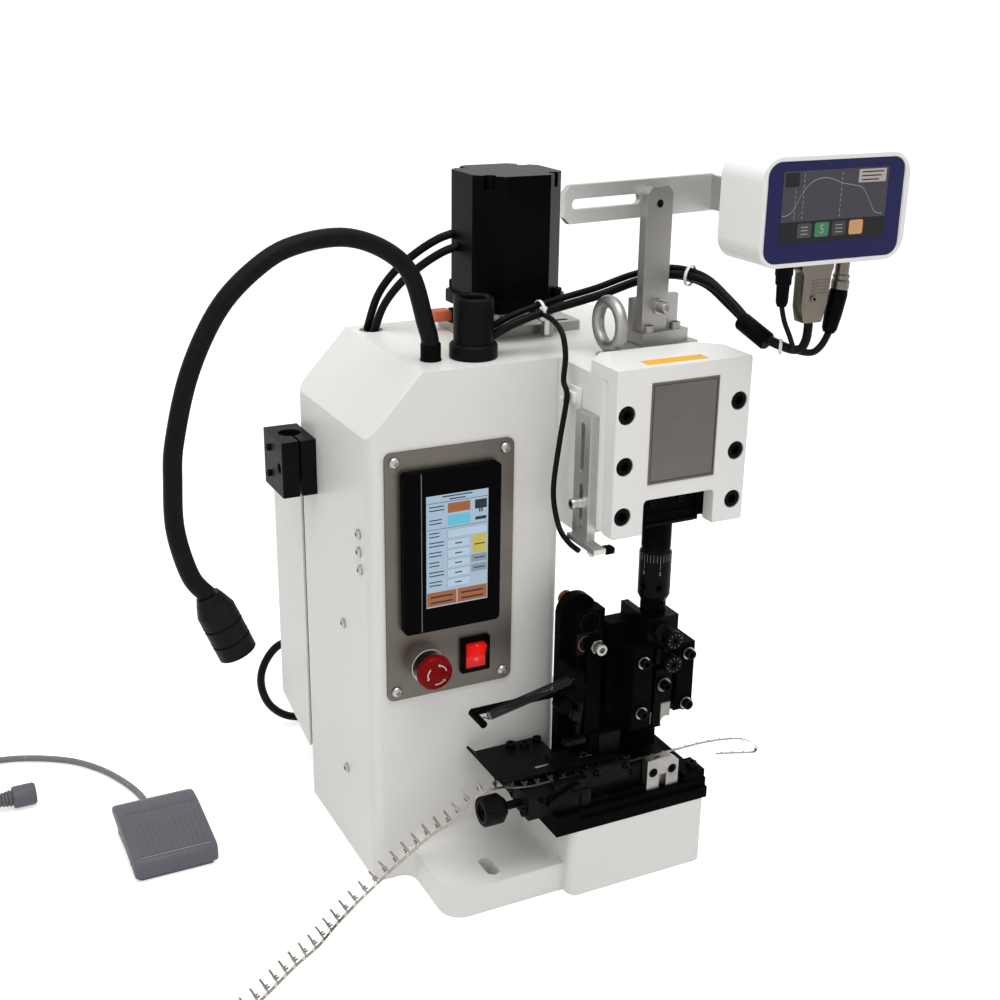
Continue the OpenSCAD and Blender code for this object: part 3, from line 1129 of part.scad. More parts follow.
// ---- pedal ----
ped_x = [-pedal_x - pedal_w / 2, -pedal_x + pedal_w / 2];
ped_y = [pedal_y, pedal_y + pedal_d];
hinge_y = pedal_y + 16;
hinge_z = pedal_lo - 8;
module pedal_base() color("dimgray") difference() {
  union() {
    pad_z([ped_x[0] + 3, ped_x[1] - 3], [ped_y[0] + 3, ped_y[1] - 3], [0, hinge_z - 3], 4);
    for (x = [ped_x[0] + 4, ped_x[1] - 10]) slab([x, x + 6], [hinge_y - 4, hinge_y + 4], [0, hinge_z + 4]);
    slab([-pedal_x - 6, -pedal_x + 6], [ped_y[1] - 10, ped_y[1] + 4], [0, 7]);
  }
  rod_x(4 + 2 * run, [ped_x[0] - over, ped_x[1] + over], hinge_y, hinge_z);
}
module pedal_cover() color("gray") {
  difference() {
    prism_x([[ped_y[0], 3], [ped_y[0], pedal_lo - 3], [ped_y[0] + 4, pedal_lo], [ped_y[1] - 4, pedal_hi], [ped_y[1], pedal_hi - 3],
      [ped_y[1], 9]], ped_x);
    prism_x([[ped_y[0] + 2, 3 - over], [ped_y[0] + 2, pedal_lo - 3], [ped_y[1] - 2, pedal_hi - 3], [ped_y[1] - 2, 9 - over]],
      [ped_x[0] + 2, ped_x[1] - 2]);
    // notch over the cord's boss, high enough for the pressed pedal
    slab([-pedal_x - 7.5, -pedal_x + 7.5], [ped_y[1] - 3, ped_y[1] + over], [9 - over, pedal_hi / 2 + 0.5]);
  }
  rod_x(4, [ped_x[0] + over, ped_x[1] - over], hinge_y, hinge_z);
}
// ---- cords ----
pcord_run = [[-372, 238, 3.2], [-372, 248, 3.2], [-372, 262, 3.2], [-375, 282, 3.2], [-382, 305, 3.2], [-392, 328, 3.2],
  [-403, 346, 3.2], [-418, 364, 3.2], [-440, 380, 3.2], [-465, 392, 3.2], [-490, 398, 3.2], [-515, 400, 3.2],
  [-530, 400, 3.2], [-540, 400, 3.2]];
module pedal_cord() color("gray") tube(bend(pcord_run, 3), pcord_d, 8);
// loops of a coil: in on the lower layer, up a layer in half a turn, out on the upper layer, straight tail
function coil(d, n, pitch, layer, tail) = let (m = n * 24, h = 12, r0 = 4 * d, r1 = r0 + n * pitch, z0 = d / 2 + 0.2) concat(
  [for (i = [0:m]) let (a = i * 15, r = r1 + (r0 - r1) * i / m) [r * cos(a), r * sin(a), z0]],
  [for (i = [1:h]) let (a = (m + i) * 15) [r0 * cos(a), r0 * sin(a), z0 + layer * i / h]],
  [for (i = [1:m]) let (a = (m + h + i) * 15, r = r0 + (r1 - r0) * i / m) [r * cos(a), r * sin(a), z0 + layer]],
  [for (s = [1:3]) [-r1, -tail * s / 3, z0 + layer]]);
function coil_gap(p, d) = min([for (i = [0:3:len(p) - 1]) min(concat([10 * d],
  [for (j = [i + 16:1:len(p) - 1]) norm(p[i] - p[j])]))]) - d;
pcoil = coil(pcord_d, 3, pcord_d + 1, pcord_d + 1, 40);
pcoil_r = pcoil[0][0];
echo("least gap of the pedal cord's coil to itself", coil_gap(pcoil, pcord_d));
module pcoil_place() translate([-540, 400 - pcoil_r, 0]) rotate([0, 0, 90]) children();
module pedal_cord_coil() color("gray") pcoil_place() tube(pcoil, pcord_d, 6);
function end_of(p) = p[len(p) - 1];
module cord_plug(e, d, l) {
  rod_y(2 * e[2], e[0], [e[1] - l, e[1]], e[2]);
  rod_y(d + 3, e[0], [e[1] - over, e[1] + 0.01], e[2]);
}
module pedal_plug() color("dimgray") pcoil_place() cord_plug(end_of(pcoil), pcord_d, 38);
gland_thread = 16;
gland_x = -200;
gland_z = 105;
module mains_gland() color("#202020") difference() {
  union() {
    rod_y(gland_thread, gland_x, [back + box_d - 12, back + box_d + 16], gland_z);
    translate([gland_x, back + box_d + 5, gland_z]) rotate([90, 0, 0]) cylinder(d = 24, h = 5, $fn = 6);
    rod_y(20, gland_x, [back + box_d + 5, back + box_d + 14], gland_z);
  }
  rod_y(mains_d + 2 * seat, gland_x, [back + box_d - 13, back + box_d + 17], gland_z);
}
mains_run = [[-200, 293, 105], [-200, 306, 105], [-200, 320, 105], [-204, 332, 103], [-216, 341, 96], [-227, 344, 82],
  [-233, 345, 65], [-232, 346, 47], [-224, 348, 28], [-208, 351, 12], [-188, 352, 5], [-160, 352, 4.2], [-130, 352, 4.2],
  [-100, 352, 4.2], [-70, 352, 4.2], [-60, 352, 4.2]];
module mains_cord() color("#202020") tube(bend(mains_run, 3), mains_d, 8);
mcoil = coil(mains_d, 3, mains_d + 0.8, mains_d + 1, 46);
mcoil_r = mcoil[0][0];
echo("least gap of the mains cord's coil to itself", coil_gap(mcoil, mains_d));
module mcoil_place() translate([-60, 352 + mcoil_r, 0]) rotate([0, 0, -90]) children();
module mains_cord_coil() color("#202020") mcoil_place() tube(mcoil, mains_d, 6);
module mains_plug() color("#202020") mcoil_place() cord_plug(end_of(mcoil), mains_d, 44);
// ---- terminal strip ----
strip_run = [[-16, -4, 101.2], [-40, -4, 101.2], [-70, -4, 101.2], [-100, -4, 101.2], [-112, -4, 101.3],
  [-124, -1, 101.7], [-136, 6, 100.6], [-148, 11.5, 96.4], [-160, 12.5, 88.6], [-171, 17, 73], [-186, 30, 56], [-202, 38, 38], [-216, 42, 25], [-229, 43, 14], [-246, 39, 6], [-261, 31, 2.5],
  [-274, 22, 1], [-297, 2, 1], [-322, -14, 1], [-356, -39, 1], [-385, -58, 1]];
module terminal_strip() color("tan") tube(bend(strip_run, 2), 2, 4);

frame_casting();
rear_cover();
head_cover();
socket_screws();
control_panel();
pan_head_screws();
touchscreen_housing();
estop_collar();
estop_plunger();
estop_cap();
rocker_frame();
rocker_button();
reel_arm_block();
motor_mount();
motor_body();
motor_end_cap();
worm_gearbox();
crankshaft();
crank_bearings();
slide_block();
slide_gibs();
ram_post();
adjuster_dial();
applicator_base();
applicator_frame();
applicator_gibs();
applicator_screws();
applicator_ram();
crimper();
wire_dial();
insulation_dial();
anvil_block();
feed_lever();
feed_bracket();
feed_spring();
strip_track();
guide_plate();
release_lever();
thumb_knob();
lamp_gooseneck();
lamp_head();
tube_socket();
eye_bolt();
bracket_post();
monitor_arm();
monitor_housing();
monitor_plugs();
held_leads();
sensor_bracket();
sensor_lead();
pedal_base();
pedal_cover();
pedal_cord();
pedal_cord_coil();
pedal_plug();
mains_gland();
mains_cord();
mains_cord_coil();
mains_plug();
terminal_strip();
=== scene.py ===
import math
import bpy
import bmesh
from mathutils import Matrix, Vector


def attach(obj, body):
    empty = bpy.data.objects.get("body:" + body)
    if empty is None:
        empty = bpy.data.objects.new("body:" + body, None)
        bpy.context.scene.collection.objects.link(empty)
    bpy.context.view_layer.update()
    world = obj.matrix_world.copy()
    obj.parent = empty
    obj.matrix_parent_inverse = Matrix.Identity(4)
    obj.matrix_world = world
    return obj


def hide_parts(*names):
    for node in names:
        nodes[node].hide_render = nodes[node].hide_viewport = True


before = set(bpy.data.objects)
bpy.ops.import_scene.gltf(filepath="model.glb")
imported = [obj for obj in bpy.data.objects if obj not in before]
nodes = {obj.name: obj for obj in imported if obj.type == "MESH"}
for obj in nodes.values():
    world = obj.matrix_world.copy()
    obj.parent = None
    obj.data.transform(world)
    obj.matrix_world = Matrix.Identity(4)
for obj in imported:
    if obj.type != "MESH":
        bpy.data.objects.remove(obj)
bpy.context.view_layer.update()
scene = bpy.context.scene
mm = 0.001
print("frame loaded:", len(nodes), "nodes")


def vec(point):
    return Vector(point) * mm


# ---- camera, lamps, floor ----
view = {"place": (-590.4, -894.3, 721.9), "yaw": 26.6405, "pitch": 20.188, "roll": 0.819, "lens": 51.025}
studio = {"ambient": 0.62, "overhead": 15.5, "side": 2.2, "floor": 0.56}


def addCamera():
    yaw, pitch, roll = (math.radians(view[key]) for key in ("yaw", "pitch", "roll"))
    look = Vector((math.sin(yaw) * math.cos(pitch), math.cos(yaw) * math.cos(pitch), -math.sin(pitch)))
    right = Vector((math.cos(yaw), -math.sin(yaw), 0))
    down = look.cross(right)
    across = math.cos(roll) * right - math.sin(roll) * down
    below = math.sin(roll) * right + math.cos(roll) * down
    data = bpy.data.cameras.new("camera")
    data.lens, data.sensor_width, data.clip_start, data.clip_end = view["lens"], 36, 0.01, 50
    camera = bpy.data.objects.new("camera", data)
    turn = Matrix((across, -below, -look)).transposed().to_4x4()
    camera.matrix_world = Matrix.Translation(vec(view["place"])) @ turn
    scene.collection.objects.link(camera)
    scene.camera = camera


def addLamp(name, place, target, size, power):
    data = bpy.data.lights.new(name, "AREA")
    data.shape, data.size, data.energy = "DISK", size, power
    lamp = bpy.data.objects.new(name, data)
    aim = (Vector(target) - Vector(place)).to_track_quat("-Z", "Y").to_matrix().to_4x4()
    lamp.matrix_world = Matrix.Translation(place) @ aim
    scene.collection.objects.link(lamp)


# ---- materials ----
# one output socket, so that shader maths reads as sums
class Wire:
    def __init__(self, finish, socket):
        self.finish, self.socket = finish, socket

    def maths(self, operation, *others, clamp=False):
        return self.finish.add("ShaderNodeMath", {"operation": operation, "use_clamp": clamp}, list(others))

    def __add__(self, other):
        return self.maths("ADD", self, other)

    __radd__ = __add__

    def __rsub__(self, other):
        return self.maths("SUBTRACT", other, self)

    def __mul__(self, other):
        return self.maths("MULTIPLY", self, other)

    __rmul__ = __mul__

    def above(self, edge, soft):
        return self.maths("MULTIPLY_ADD", self, 1 / soft, 0.5 - edge / soft, clamp=True)


# a material with one Principled shader and the nodes that feed it
class Finish:
    def __init__(self, name, **values):
        self.material = bpy.data.materials.new(name)
        self.material.use_nodes = True
        self.tree = self.material.node_tree
        self.tree.nodes.clear()
        self.shader = self.tree.nodes.new("ShaderNodeBsdfPrincipled")
        self.out = self.tree.nodes.new("ShaderNodeOutputMaterial")
        self.tree.links.new(self.shader.outputs[0], self.out.inputs[0])
        self.place = self.add("ShaderNodeTexCoord", outlet="Object")
        self.put(**values)

    def add(self, kind, settings=None, inputs=(), outlet=0):
        node = self.tree.nodes.new(kind)
        for key, value in (settings or {}).items():
            setattr(node, key, value)
        pairs = inputs.items() if isinstance(inputs, dict) else enumerate(inputs)
        for key, value in pairs:
            self.feed(node.inputs[key], value)
        return Wire(self, node.outputs[outlet])

    def feed(self, socket, value):
        if isinstance(value, Wire):
            self.tree.links.new(value.socket, socket)
        elif isinstance(value, (tuple, list)) and len(value) == 3 and socket.type == "RGBA":
            socket.default_value = (*value, 1)
        else:
            socket.default_value = value

    def put(self, **values):
        names = {"base": "Base Color", "rough": "Roughness", "metal": "Metallic", "normal": "Normal", "coat": "Coat Weight",
                 "coatRough": "Coat Roughness", "glow": "Emission Color", "glowing": "Emission Strength", "spec": "Specular IOR Level"}
        for key, value in values.items():
            self.feed(self.shader.inputs[names[key]], value)
        return self

    def stretched(self, scale):
        return self.add("ShaderNodeMapping", {}, {"Vector": self.place, "Scale": scale})

    def noise(self, scale, detail=3.0, rough=0.55, where=None):
        return self.add("ShaderNodeTexNoise", {}, {"Vector": where or self.place, "Scale": scale, "Detail": detail, "Roughness": rough})

    def mix(self, mask, low, high):
        return self.add("ShaderNodeMix", {"data_type": "RGBA"}, {0: mask, 6: low, 7: high}, outlet=2)

    def bump(self, height, depth, strength=1.0, edge=0.0):
        inputs = {"Height": height, "Distance": depth * mm, "Strength": strength}
        if edge:
            inputs["Normal"] = self.add("ShaderNodeBevel", {"samples": 4}, {"Radius": edge * mm})
        return self.add("ShaderNodeBump", {}, inputs)


def shade(tone, amount):
    return tuple(max(0.0, min(1.0, channel * amount)) for channel in tone)


# sprayed paint: fine orange peel, faint clouds and a little dust
def paint(name, tone, rough, grain, edge=0.6, dirt=0.94):
    look = Finish(name, coat=0.15, coatRough=0.25)
    peel = look.noise(grain, 2.0, 0.6)
    cloud = look.noise(9, 4.0, 0.6)
    speck = look.noise(1300, 1.0, 0.5).above(0.73, 0.05)
    base = look.mix(cloud.above(0.5, 0.5), shade(tone, dirt), tone)
    look.put(base=look.mix(speck * 0.25, base, shade(tone, 0.55)), rough=rough + 0.12 * cloud, normal=look.bump(peel, 0.10, 0.5, edge))
    return look.material


# blackened steel: oil smudges, fine tool marks, rubbed flecks
def oxide(name, tone=(0.0014, 0.0014, 0.0016), rough=0.34, edge=0.45, shine=0.11):
    look = Finish(name, spec=shine)
    smudge = look.noise(55, 5.0, 0.65)
    marks = look.noise(420, 3.0, 0.6, look.stretched((1, 1, 0.08)))
    fleck = look.noise(900, 2.0, 0.7).above(0.75, 0.05)
    base = look.mix(smudge.above(0.55, 0.4), tone, shade(tone, 2.4))
    look.put(base=look.mix(fleck * 0.5, base, (0.02, 0.02, 0.02)), rough=rough + 0.2 * smudge, normal=look.bump(marks, 0.02, 0.6, edge))
    return look.material


# bare or plated metal with the lay of its grinding
def metal(name, tone, rough, lay=(1, 1, 1), depth=0.02, grain=500, edge=0.35, spots=0.3):
    look = Finish(name, metal=1.0)
    scratch = look.noise(grain, 4.0, 0.7, look.stretched(lay))
    cloud = look.noise(40, 3.0, 0.6)
    base = look.mix(cloud.above(0.5, 0.6) * spots + scratch * 0.3, tone, shade(tone, 0.72))
    look.put(base=base, rough=rough - 0.08 + 0.22 * scratch, normal=look.bump(scratch, depth, 0.7, edge))
    return look.material


# moulded plastic or rubber with its spark grain
def plastic(name, tone, rough, grain=700, depth=0.03, coat=0.0, edge=0.5, vary=0.9, shine=0.5):
    look = Finish(name, coat=coat, spec=shine)
    pores = look.noise(grain, 2.0, 0.6)
    cloud = look.noise(30, 3.0, 0.6)
    look.put(base=look.mix(cloud, shade(tone, vary), tone), rough=rough + 0.1 * pores, normal=look.bump(pores, depth, 0.8, edge))
    return look.material


# cord jacket: fine grain and slight scuffs
def jacket(name, tone, rough, shine=0.25):
    look = Finish(name, spec=shine)
    scuff = look.noise(180, 4.0, 0.7)
    fine = look.noise(1500, 1.0, 0.5)
    look.put(base=look.mix(scuff.above(0.62, 0.2), tone, shade(tone, 1.7)), rough=rough + 0.15 * scuff, normal=look.bump(fine, 0.02, 0.5))
    return look.material


# a lit area of a display with its grid
def screenInk(name, tone, strength):
    look = Finish(name, base=(0.01, 0.01, 0.01), rough=0.25, spec=0.08, glowing=strength)
    grid = look.noise(2600, 0.0, 0.5)
    cloud = look.noise(25, 2.0, 0.5)
    look.put(glow=look.mix(grid * 0.35 + cloud * 0.2, tone, shade(tone, 0.72)))
    return look.material


# ink or foil with a little wear
def printed(name, tone, rough=0.45, shine=0.2):
    look = Finish(name, spec=shine)
    wear = look.noise(260, 5.0, 0.7)
    look.put(base=look.mix(wear.above(0.66, 0.15) * 0.6, tone, shade(tone, 0.6)), rough=rough + 0.1 * wear)
    return look.material


# black tool steel whose working part is ground bright; bright is a mask from the place
def partGround(name, bright, tone=(0.30, 0.285, 0.26)):
    look = Finish(name, spec=0.03)
    x, y, z = (look.add("ShaderNodeSeparateXYZ", {}, [look.place], outlet=index) for index in range(3))
    mask = bright(x, y, z)
    scratch = look.noise(650, 4.0, 0.7, look.stretched((1, 1, 0.08)))
    smudge = look.noise(60, 4.0, 0.6)
    ground = look.mix(smudge.above(0.55, 0.3) * 0.6 + scratch * 0.3, tone, shade(tone, 0.55))
    look.put(base=look.mix(mask, (0.0014, 0.0014, 0.0016), ground), metal=mask, rough=0.3 + 0.2 * scratch,
             normal=look.bump(scratch, 0.02, 0.6, 0.35))
    return look.material


castPaint = paint("castPaint", (0.77, 0.76, 0.735), 0.38, 480, 1.2)
coverPaint = paint("coverPaint", (0.81, 0.80, 0.78), 0.33, 700, 0.8)
blackOxide = oxide("blackOxide", shine=0.012)
blackOxideFine = oxide("blackOxideFine", (0.0016, 0.0016, 0.002), 0.22, 0.4, 0.04)
blackPlate = oxide("blackPlate", (0.003, 0.003, 0.0034), 0.32, 0.5, 0.055)
groundSteel = metal("groundSteel", (0.50, 0.48, 0.45), 0.32, (1, 1, 0.06), 0.02, 600)
zincPlate = metal("zincPlate", (0.44, 0.43, 0.405), 0.28, (1, 1, 1), 0.01, 350)
castEye = metal("castEye", (0.38, 0.38, 0.365), 0.40, (1, 1, 1), 0.14, 260, 0.5, 0.5)
brushedPanel = metal("brushedPanel", (0.150, 0.134, 0.118), 0.36, (0.04, 1, 1), 0.02, 900, 0.3, 0.5)
milledAlu = metal("milledAlu", (0.40, 0.39, 0.37), 0.36, (0.05, 1, 1), 0.02, 500)
milledPlate = metal("milledPlate", (0.60, 0.60, 0.575), 0.36, (0.05, 1, 1), 0.02, 500)
nickel = metal("nickel", (0.18, 0.16, 0.135), 0.30, (1, 1, 1), 0.02, 260, 0.5, 0.7)
brass = metal("brass", (0.20, 0.11, 0.065), 0.38, (1, 1, 1), 0.02, 400)
blackGloss = plastic("blackGloss", (0.0012, 0.0012, 0.0014), 0.14, 900, 0.004, 0, 0.8, 0.9, 0.02)
blackMatte = plastic("blackMatte", (0.002, 0.002, 0.0024), 0.40, 900, 0.03, 0, 0.5, 0.9, 0.03)
blackPaint = plastic("blackPaint", (0.0016, 0.0016, 0.0018), 0.28, 260, 0.03, 0, 0.9, 0.9, 0.035)
anodised = oxide("anodised", (0.004, 0.004, 0.0045), 0.26, 0.4, 0.07)
whiteShell = plastic("whiteShell", (0.80, 0.80, 0.79), 0.36, 900, 0.02, 0.1, 0.6, 0.97)
redCap = plastic("redCap", (0.20, 0.003, 0.004), 0.16, 400, 0.01, 0, 0.5, 0.8, 0.05)
pedalGrey = plastic("pedalGrey", (0.116, 0.114, 0.136), 0.48, 500, 0.05, 0, 0.8, 0.9, 0.35)
cordBlack = jacket("cordBlack", (0.0025, 0.0025, 0.003), 0.34, 0.09)
cordGrey = jacket("cordGrey", (0.17, 0.17, 0.165), 0.45, 0.4)
sleeveBlack = jacket("sleeveBlack", (0.004, 0.004, 0.005), 0.42, 0.08)
tinned = metal("tinned", (0.40, 0.37, 0.32), 0.30, (1, 1, 1), 0.01, 700, 0.35, 0.9)
tieWhite = plastic("tieWhite", (0.78, 0.78, 0.76), 0.4)
springSteel = metal("springSteel", (0.028, 0.028, 0.030), 0.3)
connectorOrange = plastic("connectorOrange", (0.62, 0.13, 0.04), 0.4)
# near-black finish used only for the painted shade of a hole
paintedHoleShade = oxide("paintedHoleShade", (0.002, 0.002, 0.002), 0.6, 0.2, 0.05)
crimperSteel = partGround("crimperSteel", lambda x, y, z: (0.1605 - z).above(0, 0.002) * (x + 0.0010).above(0, 0.0006))
anvilSteel = partGround("anvilSteel", lambda x, y, z: (-0.0135 - y).above(0, 0.0006), (0.36, 0.345, 0.32))


def litRocker():
    look = Finish("litRocker", rough=0.18, spec=0.2, glowing=0.42)
    x, y, z = (look.add("ShaderNodeSeparateXYZ", {}, [look.place], outlet=index) for index in range(3))
    away = look.add("ShaderNodeVectorMath", {"operation": "DISTANCE"}, {0: look.place, 1: vec((-134.1, 53, 201))}, outlet="Value")
    hot = 1 - away.above(0.009, 0.014)
    look.put(base=look.mix(hot, (0.36, 0.004, 0.004), (0.70, 0.012, 0.008)), glow=look.mix(hot, (0.45, 0.002, 0.002), (1.0, 0.02, 0.012)),
             normal=look.bump(look.noise(500), 0.01))
    return look.material


def knurled():
    look = Finish("knurled", spec=0.05)
    crossed = []
    for slope in (1, -1):
        turned = look.add("ShaderNodeMapping", {}, {"Vector": look.place, "Rotation": (slope * 0.75, 0, 0)})
        crossed.append(look.add("ShaderNodeTexWave", {"bands_direction": "Y"}, {"Vector": turned, "Scale": 190.0, "Distortion": 0.0}, outlet=1))
    height = crossed[0] * crossed[1]
    smudge = look.noise(60, 4.0)
    look.put(base=look.mix(height, (0.0012, 0.0012, 0.0014), (0.006, 0.006, 0.0065)), rough=0.28 + 0.2 * smudge,
             normal=look.bump(height, 0.35, 1.0, 0.4))
    return look.material


knurl = knurled()
rockerRed = litRocker()
print("materials made")

# ---- dressing of the CAD nodes ----
dressing = {
    castPaint: ["frame_casting", "rear_cover"],
    coverPaint: ["head_cover"],
    blackOxide: ["applicator_base", "applicator_frame", "applicator_gibs", "feed_lever", "feed_bracket", "slide_block", "slide_gibs", "ram_post"],
    blackPlate: ["reel_arm_block", "guide_plate", "strip_track", "tube_socket"],
    blackOxideFine: ["socket_screws", "adjuster_dial", "applicator_screws", "applicator_ram", "wire_dial", "insulation_dial", "release_lever"],
    groundSteel: ["crankshaft", "crank_bearings"],
    anvilSteel: ["anvil_block"],
    crimperSteel: ["crimper"],
    zincPlate: ["pan_head_screws", "estop_collar", "monitor_plugs"],
    castEye: ["eye_bolt"],
    brushedPanel: ["control_panel"],
    milledAlu: ["motor_mount", "bracket_post", "worm_gearbox"],
    milledPlate: ["monitor_arm", "sensor_bracket"],
    blackGloss: ["touchscreen_housing", "rocker_frame"],
    blackMatte: ["estop_plunger", "mains_gland", "mains_plug"],
    blackPaint: ["motor_body", "motor_end_cap"],
    anodised: ["lamp_head"],
    knurl: ["thumb_knob"],
    whiteShell: ["monitor_housing"],
    redCap: ["estop_cap"],
    rockerRed: ["rocker_button"],
    pedalGrey: ["pedal_base", "pedal_cover", "pedal_plug"],
    cordBlack: ["held_leads", "sensor_lead", "mains_cord", "mains_cord_coil"],
    cordGrey: ["pedal_cord", "pedal_cord_coil"],
    sleeveBlack: ["lamp_gooseneck"],
    tinned: ["terminal_strip"],
    springSteel: ["feed_spring"],
}
for material, names in dressing.items():
    for name in names:
        for place in nodes[name].material_slots:
            place.material = material
print("CAD nodes dressed")


# ---- mesh helpers ----
toFront = (0, -1, 0)


def joinInto(bm, part, matrix=None):
    if matrix is not None:
        part.transform(matrix)
    mesh = bpy.data.meshes.new("part")
    part.to_mesh(mesh)
    part.free()
    bm.from_mesh(mesh)
    bpy.data.meshes.remove(mesh)


def moved(point):
    return Matrix.Translation(vec(point))


def spun(degrees, axis):
    return Matrix.Rotation(math.radians(degrees), 4, axis)


def aim(base, axis):
    return moved(base) @ Vector(axis).to_track_quat("Z", "Y").to_matrix().to_4x4()


def outward(bm):
    bmesh.ops.recalc_face_normals(bm, faces=bm.faces)


def roundEdges(bm, radius, segments):
    bmesh.ops.bevel(bm, geom=bm.edges[:], offset=radius * mm, segments=segments, profile=0.5, affect="EDGES", material=-1,
                    clamp_overlap=True)


# a sheet of faces gets its thickness
def thicken(bm, thickness):
    outward(bm)
    bmesh.ops.solidify(bm, geom=bm.faces[:], thickness=thickness * mm)
    outward(bm)


def box(low, high, bevel=0.4, segments=2):
    bm = bmesh.new()
    bmesh.ops.create_cube(bm, size=1)
    bmesh.ops.scale(bm, vec=[(high[i] - low[i]) * mm for i in range(3)], verts=bm.verts)
    bmesh.ops.translate(bm, vec=[(high[i] + low[i]) / 2 * mm for i in range(3)], verts=bm.verts)
    if bevel:
        roundEdges(bm, bevel, segments)
    return bm


# profile of (radius, height) turned about Z
def lathe(profile, steps=40):
    bm = bmesh.new()
    points = [bm.verts.new((radius * mm, 0, height * mm)) for radius, height in profile]
    edges = [bm.edges.new(pair) for pair in zip(points, points[1:])]
    bmesh.ops.spin(bm, geom=points + edges, cent=(0, 0, 0), axis=(0, 0, 1), angle=2 * math.pi, steps=steps, use_merge=True)
    bmesh.ops.remove_doubles(bm, verts=bm.verts, dist=1e-7)
    outward(bm)
    return bm


# a profile that stands at a place, along an axis
def turned(profile, base, axis, steps=40):
    return lathe(profile, steps), aim(base, axis)


# outline in X and Y raised from low to high
def slabOf(outline, low, high, bevel=0.0, segments=2):
    bm = bmesh.new()
    face = bm.faces.new([bm.verts.new((x * mm, y * mm, low * mm)) for x, y in outline])
    made = bmesh.ops.extrude_face_region(bm, geom=[face])["geom"]
    bmesh.ops.translate(bm, vec=(0, 0, (high - low) * mm), verts=[part for part in made if isinstance(part, bmesh.types.BMVert)])
    outward(bm)
    if bevel:
        roundEdges(bm, bevel, segments)
    return bm


# cap screw head with a hexagon socket, standing on Z
def screwHead(width, height, socket):
    bm = bmesh.new()
    loops = []
    for radius, level, sided in ((width / 2, 0, 0), (width / 2, height * 0.84, 0), (width * 0.45, height, 0),
                                 (socket / 2, height, 1), (socket / 2, height * 0.4, 1)):
        ring = bmesh.ops.create_circle(bm, segments=24, radius=radius * mm, cap_ends=False)["verts"]
        for corner in ring:
            if sided:
                turn = math.degrees(math.atan2(corner.co.y, corner.co.x)) % 60 - 30
                corner.co.xy *= math.cos(math.radians(30)) / math.cos(math.radians(turn))
            corner.co.z = level * mm
        loops.append(list({edge for corner in ring for edge in corner.link_edges}))
    for low, high in zip(loops, loops[1:]):
        bmesh.ops.bridge_loops(bm, edges=low + high)
    bmesh.ops.edgeloop_fill(bm, edges=loops[-1])
    outward(bm)
    return bm


def piece(name, parts, material, body="machine", stands=(), smooth=35):
    bm = group(parts) if isinstance(parts, list) else parts
    mesh = bpy.data.meshes.new(name)
    bm.normal_update()
    bm.to_mesh(mesh)
    bm.free()
    mesh.polygons.foreach_set("use_smooth", [True] * len(mesh.polygons))
    mesh.set_sharp_from_angle(angle=math.radians(smooth))
    thing = bpy.data.objects.new(name, mesh)
    scene.collection.objects.link(thing)
    mesh.materials.append(material)
    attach(thing, body)
    if stands:
        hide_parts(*stands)
    return thing


# meshes, or pairs of a mesh and its matrix, as one mesh
def group(parts):
    bm = bmesh.new()
    for part in parts:
        joinInto(bm, *(part if isinstance(part, tuple) else (part, None)))
    return bm


# a row of points drawn along other rows, edge by edge
def ribbon(rows):
    bm = bmesh.new()
    line = [bm.verts.new(vec(point)) for point in rows[0]]
    for row in rows[1:]:
        edges = [bm.edges.get(pair) or bm.edges.new(pair) for pair in zip(line, line[1:])]
        made = [part for part in bmesh.ops.extrude_edge_only(bm, edges=edges)["geom"] if isinstance(part, bmesh.types.BMVert)]
        line = [min(made, key=lambda corner: (corner.co - old.co).length) for old in line]
        for corner, point in zip(line, row):
            corner.co = vec(point)
    return bm


# smooth run through the points
def bend(points, steps):
    points = [Vector(point) for point in points]
    last = len(points) - 1
    run = []
    for i in range(last):
        a, b, c, d = points[max(i - 1, 0)], points[i], points[i + 1], points[min(i + 2, last)]
        for j in range(steps):
            t = j / steps
            run.append(0.5 * (2 * b + (c - a) * t + (2 * a - 5 * b + 4 * c - d) * t * t + (3 * b - a - 3 * c + d) * t * t * t))
    return run + [points[-1]]


# a curve of one open spline with a round section
def hose(name, points, width, material, body="machine", stands=(), round=3):
    data = bpy.data.curves.new(name, "CURVE")
    data.dimensions, data.bevel_depth, data.bevel_resolution, data.use_fill_caps = "3D", width / 2 * mm, round, True
    run = data.splines.new("POLY")
    run.points.add(len(points) - 1)
    for place, point in zip(run.points, points):
        place.co = (*vec(point), 1)
    run.use_smooth = True
    thing = bpy.data.objects.new(name, data)
    scene.collection.objects.link(thing)
    data.materials.append(material)
    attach(thing, body)
    if stands:
        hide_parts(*stands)
    return thing


def lengthOf(points):
    return sum((Vector(b) - Vector(a)).length for a, b in zip(points, points[1:]))


# a generic number as a thin raised mesh
def lettering(text, height, matrix, depth=0.15):
    data = bpy.data.curves.new("number", "FONT")
    data.body, data.size, data.extrude, data.align_x, data.align_y = text, height * mm, depth / 2 * mm, "CENTER", "CENTER"
    thing = bpy.data.objects.new("number", data)
    scene.collection.objects.link(thing)
    mesh = bpy.data.meshes.new_from_object(thing.evaluated_get(bpy.context.evaluated_depsgraph_get()))
    bpy.data.objects.remove(thing)
    bm = bmesh.new()
    bm.from_mesh(mesh)
    bm.transform(matrix)
    bpy.data.meshes.remove(mesh)
    return bm


addCamera()
addLamp("overhead", (-0.25, -0.25, 1.75), (-0.05, 0.05, 0.2), 1.3, studio["overhead"])
addLamp("frontLeft", (-1.5, -1.1, 0.95), (-0.1, 0.0, 0.25), 0.9, studio["side"])
addLamp("frontRight", (1.2, -1.4, 0.8), (0.0, 0.0, 0.25), 0.8, studio["side"] * 0.6)
print("camera and lamps placed")

